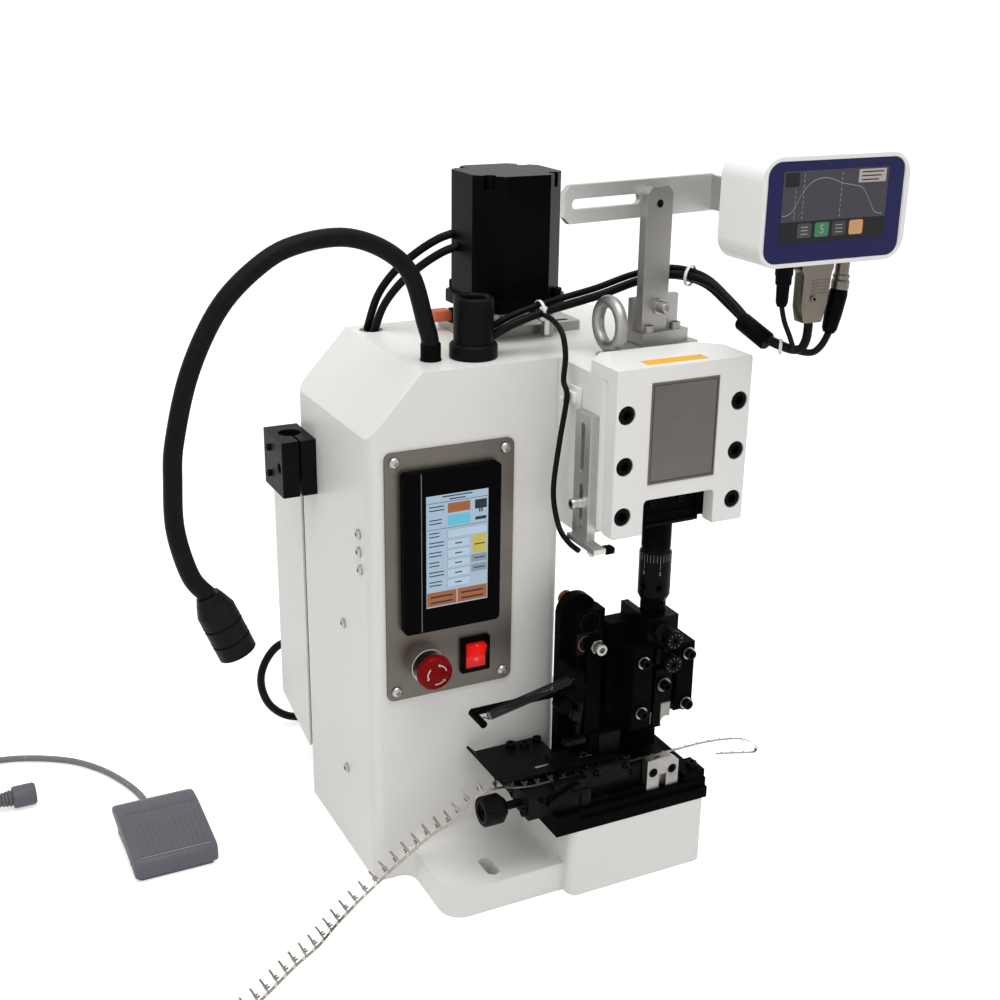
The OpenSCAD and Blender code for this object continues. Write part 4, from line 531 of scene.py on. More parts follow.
# ---- cords ----
pedalCord = {"width": 6, "loops": 3, "pitch": 7, "layer": 7, "tail": 40, "centre": (-540, 400), "turn": 90,
             "route": [(-372, 238, 3.2), (-372, 248, 3.2), (-372, 262, 3.2), (-375, 282, 3.2), (-382, 305, 3.2), (-392, 328, 3.2),
                       (-403, 346, 3.2), (-418, 364, 3.2), (-440, 380, 3.2), (-465, 392, 3.2), (-490, 398, 3.2), (-515, 400, 3.2),
                       (-530, 400, 3.2), (-540, 400, 3.2)]}
mainsCord = {"width": 8, "loops": 3, "pitch": 8.8, "layer": 9, "tail": 46, "centre": (-60, 352), "turn": -90,
             "route": [(-200, 293, 105), (-200, 306, 105), (-200, 320, 105), (-204, 332, 103), (-216, 341, 96), (-227, 344, 82),
                       (-233, 345, 65), (-232, 346, 47), (-224, 348, 28), (-208, 351, 12), (-188, 352, 5), (-160, 352, 4.2),
                       (-130, 352, 4.2), (-100, 352, 4.2), (-70, 352, 4.2), (-60, 352, 4.2)]}


# in on the lower layer, up in half a turn, out on the upper layer, then a straight tail
def coilOf(cord):
    width = cord["width"]
    steps, climb, inner, low = int(cord["loops"] * 24), 12, 4 * width, width / 2 + 0.2
    outer = inner + cord["loops"] * cord["pitch"]
    local = []
    for i in range(steps + 1):
        local.append((outer + (inner - outer) * i / steps, i * 15, low))
    for i in range(1, climb + 1):
        local.append((inner, (steps + i) * 15, low + cord["layer"] * i / climb))
    for i in range(1, steps + 1):
        local.append((inner + (outer - inner) * i / steps, (steps + climb + i) * 15, low + cord["layer"]))
    points = [Vector((r * math.cos(math.radians(a)), r * math.sin(math.radians(a)), z)) for r, a, z in local]
    points += [Vector((-outer, -cord["tail"] * s / 3, low + cord["layer"])) for s in (1, 2, 3)]
    away = spun(cord["turn"], "Z")
    start = away @ points[0]
    shift = Vector((cord["centre"][0] - start.x, cord["centre"][1] - start.y, 0))
    return [away @ point + shift for point in points]


def cordPlug(name, cord, end, heading, material, node, long):
    width, radius = cord["width"], end.z
    profile = [(0, 0), (width / 2 + 1.4, 0), (width / 2 + 2, 1)]
    for i in range(5):
        base = 2 + i * 3
        profile += [(width / 2 + 2.6 + i * 0.5, base), (width / 2 + 2.6 + i * 0.5, base + 1.8), (width / 2 + 1.8 + i * 0.5, base + 2.2),
                    (width / 2 + 1.8 + i * 0.5, base + 3)]
    profile += [(radius - 0.5, 18), (radius, 20), (radius, long - 2), (radius - 1.2, long), (0, long)]
    return piece(name, group([turned(profile, end, heading, 36)]), material, stands=(node,))


for title, cord, cordNode, material, slot, plugNode, heading, long in (
        ("pedalCord", pedalCord, "pedal_cord", cordGrey, "cord_grey", "pedal_plug", (1, 0, 0), 38),
        ("mainsCord", mainsCord, "mains_cord", cordBlack, "cord_black", "mains_plug", (-1, 0, 0), 44)):
    coil = coilOf(cord)
    path = bend(cord["route"], 4)[:-1] + coil
    run = hose(title, path, cord["width"], material, stands=(cordNode, cordNode + "_coil"), round=4)
    plug = cordPlug(title + "Plug", cord, coil[-1], heading, pedalGrey if title == "pedalCord" else blackMatte, plugNode, long)
    cord["width"] * mm
    print(title, "length in metres", round(lengthOf(path) * mm, 3))

piece("pedalRelief", [turned([(3.1, 0), (6, 0), (6, 3), (5.2, 5), (5.4, 7), (4.7, 9), (4.9, 11), (4.2, 13), (4.4, 15), (3.8, 17),
                                    (3.9, 20), (3.1, 22)], (-372, 236, 3.4 + 2.8), (0, 1, -0.12), 28)], pedalGrey)
piece("mainsRelief", [turned([(4.1, 0), (6.6, 0), (6.6, 3), (5.8, 5), (6.0, 8), (5.2, 10), (5.4, 13), (4.7, 15), (4.8, 18),
                                    (4.1, 21)], (-200, 320, 105), (-0.10, 1, -0.03), 28)], blackMatte)
print("cords laid")

# ---- lamp ----
lampRun = [(-157, 94, 441.4), (-158, 93, 457.4), (-163, 91, 473.4), (-175, 89, 510.4), (-197, 86, 531.4), (-229, 83, 543.4),
           (-265, 81, 541.4), (-294, 78, 530.4), (-327, 75, 502.4), (-352, 73, 458.4), (-367, 70, 409.4), (-371, 67, 380.4),
           (-372, 65, 343.4), (-364, 62, 307.4), (-353, 59, 291.4)]
hose("lampSleeve", bend(lampRun, 8), 14, sleeveBlack, stands=("lamp_gooseneck",), round=8)
piece("lampSocket", [turned([(7.1, 0), (8.6, 0), (8.6, 1.2), (8.1, 1.8), (8.1, 13), (7.6, 14), (7.05, 14.3)],
    (-157, 94, 441.4), (0, 0, 1), 40)],
      blackMatte)
lampAxis = Vector((19, -5, -48.4)).normalized()
lampEnd = Vector(lampRun[-1])
piece("lampLens", [turned([(0, 47.6), (4, 48.6), (8, 48.2), (9.7, 47.2), (9.7, 46.8), (0, 46.8)], lampEnd, lampAxis, 40)],
      plastic("lensClear", (0.75, 0.78, 0.80), 0.1, 500, 0.01, 0.8))
piece("lampRings", [turned([(14.2, at), (14.9, at + 0.2), (15.0, at + 0.9), (14.9, at + 1.6), (14.2, at + 1.8)], lampEnd, lampAxis, 48)
                          for at in (22.2, 26.0, 36.2, 40.0)], anodised)
print("lamp made")

# ---- leads that are tied down ----
upperRun = [(-116, 98, 448), (-106, 92, 456), (-90, 87, 465), (-68, 84, 472), (-41, 84, 477), (-14, 84, 482), (20, 82, 491), (44, 66, 497),
    (58, 40, 494), (62, 10, 482)]
motorRun = [(-100, 166, 515), (-112, 171, 510), (-127, 179, 499), (-143, 190, 482), (-155, 200, 460), (-162, 208, 430)]
leads = {
    "monitorSupply": (upperRun + [(66, -20, 468), (72, -40, 461), (80, -50, 460), (77, -51, 469), (71, -50, 482), (67, -50, 495)], (0, 0, 0), 4),
    "monitorData": (upperRun + [(66, -20, 467), (76, -42, 460), (87, -50, 459), (93, -50, 466), (94, -50, 479)], (0, -7, 3), 7),
    "monitorSensor": (upperRun + [(66, -20, 466), (78, -44, 459), (95, -52, 456), (106, -52, 460), (114.5, -50, 470)], (0, 1, 7), 5.5),
    "motorSupply": (motorRun, (0, 0, 0), 7),
    "motorSense": (motorRun, (0, 10, 9), 7),
}
for index, (title, (route, offset, width)) in enumerate(leads.items()):
    fade = [Vector(point) + Vector(offset) * (1 if i < len(upperRun) or "motor" in title else max(0, 1 - (i - len(upperRun) + 1) / 3))
            for i, point in enumerate(route)]
    hose(title, bend(fade, 6), width, cordBlack, stands=("held_leads",) if index == 0 else ())
sensorRun = [(-68, 80, 474), (-68, 58, 472), (-70, 40, 466), (-70, 34, 450), (-70, 36, 430), (-70, 30, 418), (-72, 36, 380),
             (-73, 42, 337), (-74, 30, 312), (-74, 14, 304), (-72, 0, 301)]
hose("sensorWire", bend(sensorRun, 6), 4.5, cordBlack, stands=("sensor_lead",))


def tie(at, along, radius):
    band = lathe([(radius, -1.2), (radius + 0.6, -1.2), (radius + 0.6, 1.2), (radius, 1.2), (radius, -1.2)], 28)
    head = box((radius - 0.5, -1.8, -1.7), (radius + 2.2, 1.8, 1.7), 0.5)
    bm = group([band, head])
    bm.transform(aim(at, along))
    return bm


piece("cableTies", [tie(at, along, radius) for at, along, radius in (
    ((-68, 81, 475.5), (1, 0, 0.1), 8), ((52.2, 51.4, 499.9), (2.33, -4.45, -0.5), 8), ((75.5, -42, 460.5), (0.8, -0.6, 0), 5.4))], tieWhite)
piece("ferriteSleeve", [turned([(0, -15), (6.4, -15), (7.4, -13.4), (7.4, 13.4), (6.4, 15), (0, 15)],
    (66.5, -20, 468.6), (0.24, -0.86, -0.40), 36)],
      blackMatte)
print("leads tied")

# ---- return spring ----
spring = {"from": (-160.2, -12, 179), "to": (-72.8, -2, 190), "wire": 1.0, "width": 8.4, "turns": 52}


def coilSpring():
    start, end = Vector(spring["from"]), Vector(spring["to"])
    long = (end - start).length
    radius = (spring["width"] - spring["wire"]) / 2
    steps = spring["turns"] * 14
    local = [(0, 0, 0), (0, 0, 2), (radius / 2, 0, 4)]
    local += [(radius * math.cos(i / 14 * 2 * math.pi), radius * math.sin(i / 14 * 2 * math.pi), 6 + (long - 12) * i / steps)
              for i in range(steps + 1)]
    local += [(radius / 2, 0, long - 4), (0, 0, long - 2), (0, 0, long)]
    across = end - start
    turn = Matrix.Rotation(math.atan2(across.y, across.x), 4, "Z") @ Matrix.Rotation(math.acos(across.z / long), 4, "Y")
    return [start + turn @ Vector(point) for point in local]


hose("returnSpring", coilSpring(), spring["wire"], springSteel,
     stands=("feed_spring",), round=1)

# ---- terminal strip ----
strip = {"pitch": 12.2, "carrier": 2.3, "sheet": 0.35, "lastTerminal": -16, "lean": (-0.38, 0.52, 0.72),
         "route": [(-385, -58, 1), (-356, -39, 1), (-322, -14, 1), (-297, 2, 1), (-274, 22, 1), (-261, 31, 2.5), (-246, 39, 6), (-229, 43, 14),
                   (-216, 42, 25), (-202, 38, 38), (-186, 30, 56), (-171, 17, 73), (-160, 12.5, 88.6), (-148, 11.5, 96.4), (-136, 6, 100.6),
                   (-124, -1, 101.7), (-112, -4, 101.3), (-100, -4, 101.2), (-70, -4, 101.2), (-40, -4, 101.2), (-16, -4, 101.2),
                   (6, -4, 100.8), (26, -2, 99.6), (42, -1, 99.0), (58, 0, 98.2), (79, 0, 96.4), (98, 0, 92.6), (111, 0, 86.5), (118, 0, 79),
                   (117.5, 2, 74), (110, 3, 74.5), (94, 3, 78), (74, 3, 82)]}


# even stations with the heading and the side of the strip
def stationsOf(route, pitch):
    stations, walked = [], pitch / 2
    fine = bend(route, 12)
    for a, b in zip(fine, fine[1:]):
        span = (b - a).length
        while walked <= span:
            point, along = a.lerp(b, walked / span), (b - a).normalized()
            rise = min(1.0, max(0.0, (-128 - point.x) / 50))
            side = Vector((0, 1, 0)).lerp(Vector(strip["lean"]), rise)
            side = (side - side.dot(along) * along).normalized()
            stations.append((point, along, side))
            walked += pitch
        walked -= span
    return stations


# slim pin with a winged barrel near the carrier: X along the strip, Y away from the carrier
def terminal():
    sheet, upright = strip["sheet"], Matrix(((1, 0, 0, 0), (0, 0, 1, 0), (0, 1, 0, 0), (0, 0, 0, 1)))
    parts = [slabOf([(-0.7, 0), (0.7, 0), (0.7, 1.2), (1.3, 1.6), (1.3, 5.0), (0.9, 5.6), (0.9, 10.6), (0.5, 11.5), (-0.5, 11.5), (-0.9, 10.6),
                      (-0.9, 5.6), (-1.3, 5.0), (-1.3, 1.6), (-0.7, 1.2)], 0, sheet)]
    for hand in (1, -1):
        for near, far, tall in ((1.6, 3.0, 3.1), (3.6, 5.0, 2.3)):
            wing = [(hand * x, z) for x, z in ((1.3, 0), (1.3 - sheet, 0), (1.2, tall * 0.6), (1.9, tall), (2.2, tall * 0.9), (1.5, tall * 0.5))]
            parts.append((slabOf(wing if hand > 0 else wing[::-1], near, far), upright))
        parts.append((slabOf([(hand * 0.9, 0), (hand * 0.6, 0), (hand * 0.45, 0.9), (hand * 0.7, 1.0)][::hand], 5.6, 10.4), upright))
    bm = group(parts)
    outward(bm)
    return bm


# the carrier is drawn station by station, and every fourth field is a pilot hole
def carrierBand():
    rows = [[point + side * off for off in (0, -0.75, -1.55, -strip["carrier"])] for point, along, side in stationsOf(strip["route"],
        strip["pitch"] / 4)]
    bm = ribbon(rows)
    bm.faces.ensure_lookup_table()
    holes = [bm.faces[i * 3 + 1] for i in range(len(rows) - 1) if i % 4 == 0]
    bmesh.ops.delete(bm, geom=[face for face in holes if 0.7 * mm < min(edge.calc_length() for edge in face.edges)], context="FACES_ONLY")
    thicken(bm, strip["sheet"])
    return bm


def terminalStrip():
    one = bpy.data.meshes.new("one")
    bm = terminal()
    bm.to_mesh(one)
    bm.free()
    whole = carrierBand()
    for point, along, side in stationsOf(strip["route"], strip["pitch"]):
        up = along.cross(side)
        if point.x > strip["lastTerminal"]:
            joinInto(whole, box((-0.7, 0, -0.15), (0.7, 1.6, 0.15), 0), moved(point) @ Matrix((along, side,
                up)).transposed().to_4x4())
            continue
        copy = bmesh.new()
        copy.from_mesh(one)
        joinInto(whole, copy, moved(point) @ Matrix((along, side, up)).transposed().to_4x4())
    return piece("terminalStrip", whole, tinned, stands=("terminal_strip",))


terminalStrip()
print("strip threaded")

# ---- control panel ----
screenBack = screenInk("screenBack", (0.46, 0.60, 0.76), 0.85)
screenWhite = screenInk("screenWhite", (0.52, 0.66, 0.80), 0.9)
screenOrange = screenInk("screenOrange", (0.44, 0.15, 0.05), 0.8)
screenYellow = screenInk("screenYellow", (0.70, 0.60, 0.12), 0.8)
screenGrey = screenInk("screenGrey", (0.36, 0.44, 0.50), 0.7)
screenInkDark = screenInk("screenDark", (0.03, 0.04, 0.06), 0.6)
screenCyan = screenInk("screenCyan", (0.16, 0.62, 0.78), 0.85)


def panelBits():
    y = 52.5  # front of the display
    left, low = -179.7, 249.5

    def patch(x0, x1, z0, z1, front=0.25, bevel=0.05):
        return box((left + x0, y - front, low + z0), (left + x1, y, low + z1), bevel, 1)

    piece("screenArea", [patch(0, 53.9, 0, 95, 0.1)], screenBack)
    piece("screenOranges", [patch(0.6, 26.3, 1, 13, 0.3), patch(27.3, 53.3, 1, 13, 0.3), patch(18.6, 38, 79, 87, 0.3)], screenOrange)
    piece("screenCyans", [patch(18.6, 38, 68, 77, 0.3)], screenCyan)
    fields = [(18.6, 53, 57.8), (18.6, 38, 49.2), (18.6, 38, 40.8), (18.6, 38, 32.4), (18.6, 38, 24), (18.6, 38, 15.6)]
    piece("screenFrames", [patch(x0 - 0.35, x1 + 0.35, z - 0.35, z + 7.05, 0.2) for x0, x1, z in fields], screenGrey)
    piece("screenWhites", [patch(x0, x1, z, z + 6.7, 0.3) for x0, x1, z in fields], screenWhite)
    piece("screenYellows", [patch(40, 52.6, 41.6, 57, 0.3)], screenYellow)
    piece("screenGreys", [patch(39.2, 53, z, z + 6.6, 0.3) for z in (33.8, 25.4)], screenGrey)
    rules = [patch(0.5, 53.4, z, z + 0.4, 0.2) for z in (88.4, 66.4)]
    words = [patch(2.6, 15.4 - i % 3 * 2, z + rise, z + rise + 0.9, 0.2) for i, z in enumerate((82, 71, 60, 52, 43.6, 35.2, 26.8,
        18.4)) for rise in (0, 3)]
    counts = [patch(25, 31, z, z + 1, 0.4) for z in (52, 43.6, 35.2, 26.8, 18.4)] + [patch(41.6, 51, z, z + 0.9, 0.4) for z in (48.5, 36.6, 28.2)]
    shapes = [patch(42.2, 52.6, 79, 86.6, 0.3), patch(45.8, 47, 76, 79, 0.3), patch(47.8, 49, 76, 79, 0.3), patch(42.6, 52.2, 69.6, 72.2, 0.3)]
    footer = [patch(3.4 + j * 27, 23 + j * 27, z, z + 1.4, 0.4) for j in (0, 1) for z in (3.4, 8.2)]
    piece("screenDarks", rules + words + counts + shapes + footer + [patch(14, 40, 92.6, 93.6, 0.2), patch(20, 34, 90, 91, 0.2)],
          screenInkDark)
    piece("bezelLine", [box((-184.0, y - 0.6, 230), (-183.4, y, 364), 0)], printed("bezelGrey", (0.20, 0.20, 0.20)))


panelBits()


# two curved arrows, as on any twist-release button
def stopArrows():
    arrows = []
    for start in (15, 135, 255):
        rows = []
        for i in range(15):
            angle = math.radians(start + i * 5)
            inner, outer = (7.8, 9.4) if i < 12 else (6.8 + (i - 12) * 0.85, 10.4 - (i - 12) * 0.85)
            rows.append([(r * math.cos(angle), r * math.sin(angle), lift) for r, lift in ((inner, 0.45), (outer, -0.1))])
        arrows.append(ribbon(rows))
    bm = group(arrows)
    thicken(bm, 0.25)
    bm.transform(aim((-178, 45.7 - 10.75, 198.5), toFront))
    piece("stopArrows", bm, printed("arrowWhite", (0.62, 0.45, 0.45)), "stop_button")
    grooves = [turned([(14.4, 0), (14.9, 0.3), (14.9, 0.9), (14.4, 1.2)], (-178, 53.0, 198.5), toFront, 48)]
    piece("stopSkirt", grooves, zincPlate)


stopArrows()
piece("rockerMarks", [
    (box((-134.5, -0.3, -5.2), (-133.7, 0.3, -1.6), 0.1, 1), moved((0, 53.4, 209)) @ spun(9, "X")),
    (lathe([(1.1, 0), (1.6, 0), (1.6, 0.3), (1.1, 0.3), (1.1, 0)], 30), moved((-134.1, 54.95, 194.3)) @ spun(90 + 20, "X"))],
    printed("markPale", (0.80, 0.55, 0.50)), "rocker")
print("controls dressed")

# ---- head ----
piece("coverPlaque", [box((-30, -29.1, 358.5), (31, -28.4, 439.6), 0.3)],
      metal("plaqueFoil", (0.135, 0.125, 0.12), 0.42, (0.05, 1, 1), 0.01, 700, 0.2))
piece("plaqueBorder", [box((x0, -29.3, z0), (x1, -29.0, z1), 0.05, 1) for x0, x1, z0, z1 in (
    (-28.4, 29.4, 437.2, 437.7), (-28.4, 29.4, 360.4, 360.9), (-28.4, -27.9, 360.9, 437.2), (28.9, 29.4, 360.9, 437.2))],
    printed("plaqueInk", (0.02, 0.02, 0.02)))
piece("coverSticker", [box((-29.5, -21, 451.6), (25, -9, 451.95), 0.1, 1)], printed("stickerYellow", (0.80, 0.42, 0.03)))
piece("slideLip", [box((-25.5, -13.6, 316.3), (25.5, -12, 319.2), 0.4)] +
                         [(screwHead(6, 1.6, 3), aim((x, -11.0, 336), toFront)) for x in (-13, 13)], blackOxideFine, "ram")


# ---- dials ----
dialPrint = {"radius": 13.2, "top": 289.6, "digits": 273.5, "height": 4.6, "facing": -193.9}


def dialMarks():
    ink = printed("dialInk", (0.27, 0.27, 0.26))
    bm = bmesh.new()
    for i in range(30):
        tall = 12.5 if i % 5 == 0 else 6.5
        mark = box((-0.14, -dialPrint["radius"] - 0.05, dialPrint["top"] - tall), (0.14, -dialPrint["radius"] + 0.2, dialPrint["top"]), 0)
        joinInto(bm, mark, spun(i * 12 + dialPrint["facing"], "Z"))
    for i in range(6):
        turn = spun(i * 60 + dialPrint["facing"], "Z")
        joinInto(bm, lettering(str(i), dialPrint["height"], turn @ moved((0, -dialPrint["radius"] - 0.02, dialPrint["digits"]))
                               @ spun(90, "X"), 0.3), None)
    piece("dialMarks", bm, ink, "adjuster")
    for title, body, z in (("wireMarks", "wire_height", 223.5), ("insulationMarks", "insulation_height", 202)):
        bm = bmesh.new()
        for i in range(10):
            joinInto(bm, box((-0.18, 5.0, 0), (0.18, 6.4, 0.15), 0), aim((0, -17.3 - 18.7, z), toFront) @ spun(i * 36, "Z"))
        piece(title, bm, ink, body)


dialMarks()

# ---- screws and small parts of the applicator and the track ----
smallScrews = [((-78, 50, 106), (0, 0, 1), 8), ((38.5, -15.7, 87.5), (0, 0, 1), 9), ((-94, -16, 106), (0, 0, 1), 5), ((-117, 12, 87), (-1, 0, 0), 8),
               ((-122, -15.5, 86), (-1, 0, 0), 7.5), ((-57, -14.8, 105), toFront, 6), ((-29, -14.8, 105), toFront, 6),
               ((-110, -20, 96), toFront, 5), ((-102, -20, 96), toFront, 5), ((-22, -13, 96), toFront, 5),
               ((-4.5, -17.8, 95.5), toFront, 7.2), ((14, -17.8, 95.5), toFront, 7.2), ((-253.7, 214, 347), (-1, 0, 0), 6),
               ((-253.7, 214, 324), (-1, 0, 0), 6), ((-68, -10, 124), toFront, 6)]
piece("smallScrews", [(screwHead(width, width * 0.55, width * 0.5), aim(at, axis)) for at, axis, width in smallScrews],
      blackOxideFine)
piece("washers", [turned([(2.6, 0), (5.3, 0), (5.3, 0.5), (2.6, 0.5)], (x, -24.7, z), toFront, 32)
                        for x in (-21.6, 21.6) for z in (203.5, 157.6)], zincPlate)
piece("crimperWasher", [turned([(3.2, 0), (6.2, 0), (6.2, 0.7), (3.2, 0.7)], (0, -23.1, 178.5), toFront, 36)], nickel, "ram")
piece("sidePunch", [box((-11.6, -20, 142), (-8.4, -18.2, 153), 0.3)], groundSteel, "ram")
piece("pivotNut", [(screwHead(10.4, 8, 5.6), aim((-50, 2, 212), toFront)), turned([(0, 0), (6.3, 0), (6.3, 1), (0, 1)],
    (-50, 2.4, 212), toFront, 6)],
      zincPlate, "feed_arm")

feedBits = {"pocket": (-52, 11.8, 230), "bush": (-61, 35.2, 243), "stop": (-57, 9.4, 213), "rodTop": (-63, 0, 183), "rodLow": (-67.5, 0, 137)}
piece("feedPocket", [turned([(8.2, 0), (9.4, 0), (9.4, 0.6), (8.2, 0.6), (8.2, 0)], feedBits["pocket"], toFront, 40),
                           box((-64.4, 9.6, 203), (-41, 12, 222.5), 0.5), box((-80, -3.5, 128), (-60, 3.5, 133.5), 1.2),
                           turned([(0, 0), (4.2, 0.4), (4.6, 3), (4.2, 6), (0, 6.6)], (-74, -4, 159), toFront, 28),
                           box((-44.5, 2.4, 110.5), (-24, 4.0, 129), 0.4), box((-44.5, 3.6, 127.2), (-24, 14, 129), 0.4),
                           box((-73.5, -21.6, 80), (-64.5, -19.8, 96.5), 0.4), box((-68, -15.3, 102.6), (-50, -14.6, 107.4), 0.6),
                           box((-40, -15.3, 102.6), (-24.5, -14.6, 107.4), 0.6)], blackPlate)
piece("feedBush", [turned([(4, 0), (6.8, 0), (6.8, 3.6), (4, 3.6), (4, 0)], feedBits["bush"], (0, 1, 0), 36),
                         turned([(6.4, 0), (7.2, 0), (7.2, 0.6), (6.4, 0.6), (6.4, 0)], feedBits["stop"], toFront, 36)], brass)
piece("feedRod", [turned([(0, 0), (1.6, 0), (2, 0.8), (2, 44), (1.6, 45), (0, 45)], feedBits["rodLow"],
                         Vector(feedBits["rodTop"]) - Vector(feedBits["rodLow"]), 24)],
      blackPlate)
piece("trackPins", [box((-99.5, 11, 105.6), (-86.5, 13, 106.7), 0.3), box((-62, 9.6, 106.2), (-46, 11.6, 107.1), 0.3)], groundSteel)

# ---- sensor ----
piece("sensorBits", [turned([(0, 0), (4.6, 0), (4.6, 3.4), (2.4, 3.4), (2.4, 6), (0, 6.4)], (-67, -12, 306), (0, 0, -1), 6),
                           (screwHead(8.6, 5, 4.4), aim((-72, 6.5, 338.5), (-1, 0, 0)))], zincPlate)
piece("sensorTip", [box((-61.4, -24, 304), (-53, -15.5, 309.6), 1.2)], blackMatte)
piece("leadClip", [box((-63.6, 22, 409), (-60.6, 41, 426), 0.9), box((-66.5, 25, 413), (-63.2, 38, 422), 1.2),
                         box((-73.5, 32, 414), (-66, 36.5, 418.5), 1.2)], tieWhite)

# ---- bracket ----
bracket = moved((1, 32, 441.4)) @ spun(8, "Z")
piece("bracketScrew", [(screwHead(9.5, 9, 4.8), bracket @ aim((22, 10.8, 37), toFront)), (lathe([(3, 0), (6.6, 0), (6.6, 1.2), (3, 1.2)], 36),
    bracket @ aim((22, 12, 37), toFront))],
      zincPlate)
# a thin near-black disc on the bracket face: painted shade where the inside of a hole would look dark
piece("bracketHoleShade", [(lathe([(0, 0), (2.6, 0), (3.2, 0.05), (3.2, 0.12), (0, 0.12)], 32), bracket @ aim((18, 12.02, 118.4), toFront))],
    paintedHoleShade)

# ---- monitor ----
monitorInk = {"face": (0.012, 0.012, 0.075), "night": (0.055, 0.053, 0.065), "band": (0.012, 0.012, 0.014), "trace": (0.30, 0.31, 0.33)}


# plate on the front of the monitor with rounded corners
def plate(x0, x1, z0, z1, front, radius):
    bm = box((x0, front, z0), (x1, -79.1, z1), 0)
    corners = [edge for edge in bm.edges if abs((edge.verts[0].co - edge.verts[1].co).y) > 0.1 * mm]
    bmesh.ops.bevel(bm, geom=corners, offset=radius * mm, segments=8, profile=0.5, affect="EDGES", material=-1)
    return bm


piece("monitorFace", [plate(24.3, 145.7, 533.2, 604.8, -79.7, 10)], printed("faceBlue", monitorInk["face"], 0.4, 0.15))
screenNight = screenInk("screenNight", monitorInk["night"], 1.0)
screenBand = screenInk("screenBand", monitorInk["band"], 1.0)
traceInk = screenInk("traceInk", monitorInk["trace"], 1.0)
piece("monitorGlass", [plate(37, 131, 547.5, 598, -79.9, 0.6)], screenNight)
piece("monitorBand", [plate(37, 131, 547.5, 562.4, -80.1, 0.6), plate(38.4, 50.6, 587, 597, -80.2, 1.4)], screenBand)


def traceLine():
    crest = [(37.5, 567), (42, 567.5), (47, 571), (53, 581), (59, 588), (66, 591.6), (74, 592.4), (82, 590.6), (89, 588), (100, 586), (108, 583.6),
        (114, 576),
             (119, 568), (123, 565), (128, 564.4)]
    bm = ribbon([[(point.x, -80.2, point.z + off) for off in (-0.22, 0.22)] for point in bend([(x, -80.2, z) for x, z in crest], 4)])
    thicken(bm, 0.12)
    for x in (48, 55, 88.5):
        for i in range(9):
            joinInto(bm, box((x, -80.1, 564 + i * 3.7), (x + 0.25, -79.9, 566.2 + i * 3.7), 0))
    piece("monitorTrace", bm, traceInk)


traceLine()
icons = {"iconHand": ((0.06, 0.06, 0.065), 52), "iconCount": ((0.05, 0.20, 0.09), 67.5), "iconPlot": ((0.05, 0.05, 0.055), 83),
    "iconCurve": ((0.62, 0.30, 0.12), 98.5)}
for title, (tone, x) in icons.items():
    piece(title, [plate(x, x + 12.4, 550.6, 561, -80.4, 1.6)], screenInk(title + "Ink", tone, 1.0))
piece("iconMarks", [box((x + 3, -80.6, z), (x + 9, -80.35, z + 0.6), 0) for x in (52, 83, 98.5) for z in (553, 555.6, 558)] +
                         [lettering("5", 9, moved((73.7, -80.45, 555.8)) @ spun(90, "X"))],
      traceInk)
piece("monitorTally", [plate(103.6, 128.4, 587.6, 597, -80.2, 0.3)], screenInk("tallyInk", (0.42, 0.38, 0.34), 1.0))
piece("tallyLines", [box((106, -80.4, z), (126 - i * 2, -80.15, z + 0.9), 0) for i, z in enumerate((594.6, 591.8, 589))], screenBand)

# plugs under the monitor: supply, data hood, coaxial
plugs = {"supply": (67, -50), "data": (94, -50), "coax": (122, -50), "hoodWide": 13.5, "hoodDeep": 6.5}


def hood():
    wide = plugs["hoodWide"]
    outline = [(-wide - 1.5, 0), (-wide - 1.5, -9), (-wide + 1, -12), (-wide + 1, -38), (-wide + 4, -50), (wide - 6, -50), (wide - 2, -36),
        (wide, -12),
               (wide + 1.5, -9), (wide + 1.5, 0)]
    body = slabOf(outline[::-1], -plugs["hoodDeep"], plugs["hoodDeep"], 1.6, 3)
    place = moved((*plugs["data"], 530)) @ spun(90, "X")
    ribs = [(box((-6, -plugs["hoodDeep"] - 0.5, -18 - i * 2.6), (wide - 2, -plugs["hoodDeep"] + 0.4, -16.6 - i * 2.6), 0.3),
        moved((*plugs["data"], 530)))
            for i in range(5)]
    return group([(body, place), (screwHead(5.6, 1.6, 2.6), aim((plugs["data"][0] - 3, plugs["data"][1] - plugs["hoodDeep"], 499),
        (0, -1, 0)))] + ribs)


piece("dataHood", hood(), nickel, stands=("monitor_plugs",))
piece("coaxPlug", [turned([(0, 0), (6.2, 0), (6.2, 3), (5.4, 3.6), (5.4, 15), (6.4, 16), (6.4, 18), (5.8, 19), (6.9, 20.5), (6.9, 26), (5.8, 28),
    (0, 28)],
                               (*plugs["coax"], 530), (-0.05, 0, -1), 40)], nickel)
piece("plugBoots", [turned([(0, 0), (6.6, 0), (6.8, 12), (6.2, 13), (6.0, 19), (5.0, 20), (4.6, 33), (3.4, 36), (0, 36)],
                                (*plugs["supply"], 530), (0.0, 0, -1), 36),
                          turned([(0, 0), (6.6, 0), (7.2, 4), (6.8, 20), (5.8, 31), (4.2, 34), (0, 34)],
                              (120.6, -50, 503), (-0.20, 0, -1), 36)],
      blackMatte)
print("monitor dressed")

# ---- pedal ----
pedalForm = {"left": -408, "right": -336, "profile": [(144, 3), (144, 16.6), (147.5, 20.2), (200, 28.8), (210, 29.9), (224, 29.6), (234, 25),
    (234, 17.5)],
             "frontRibs": 13, "backRibs": 12, "pitch": 4.7}


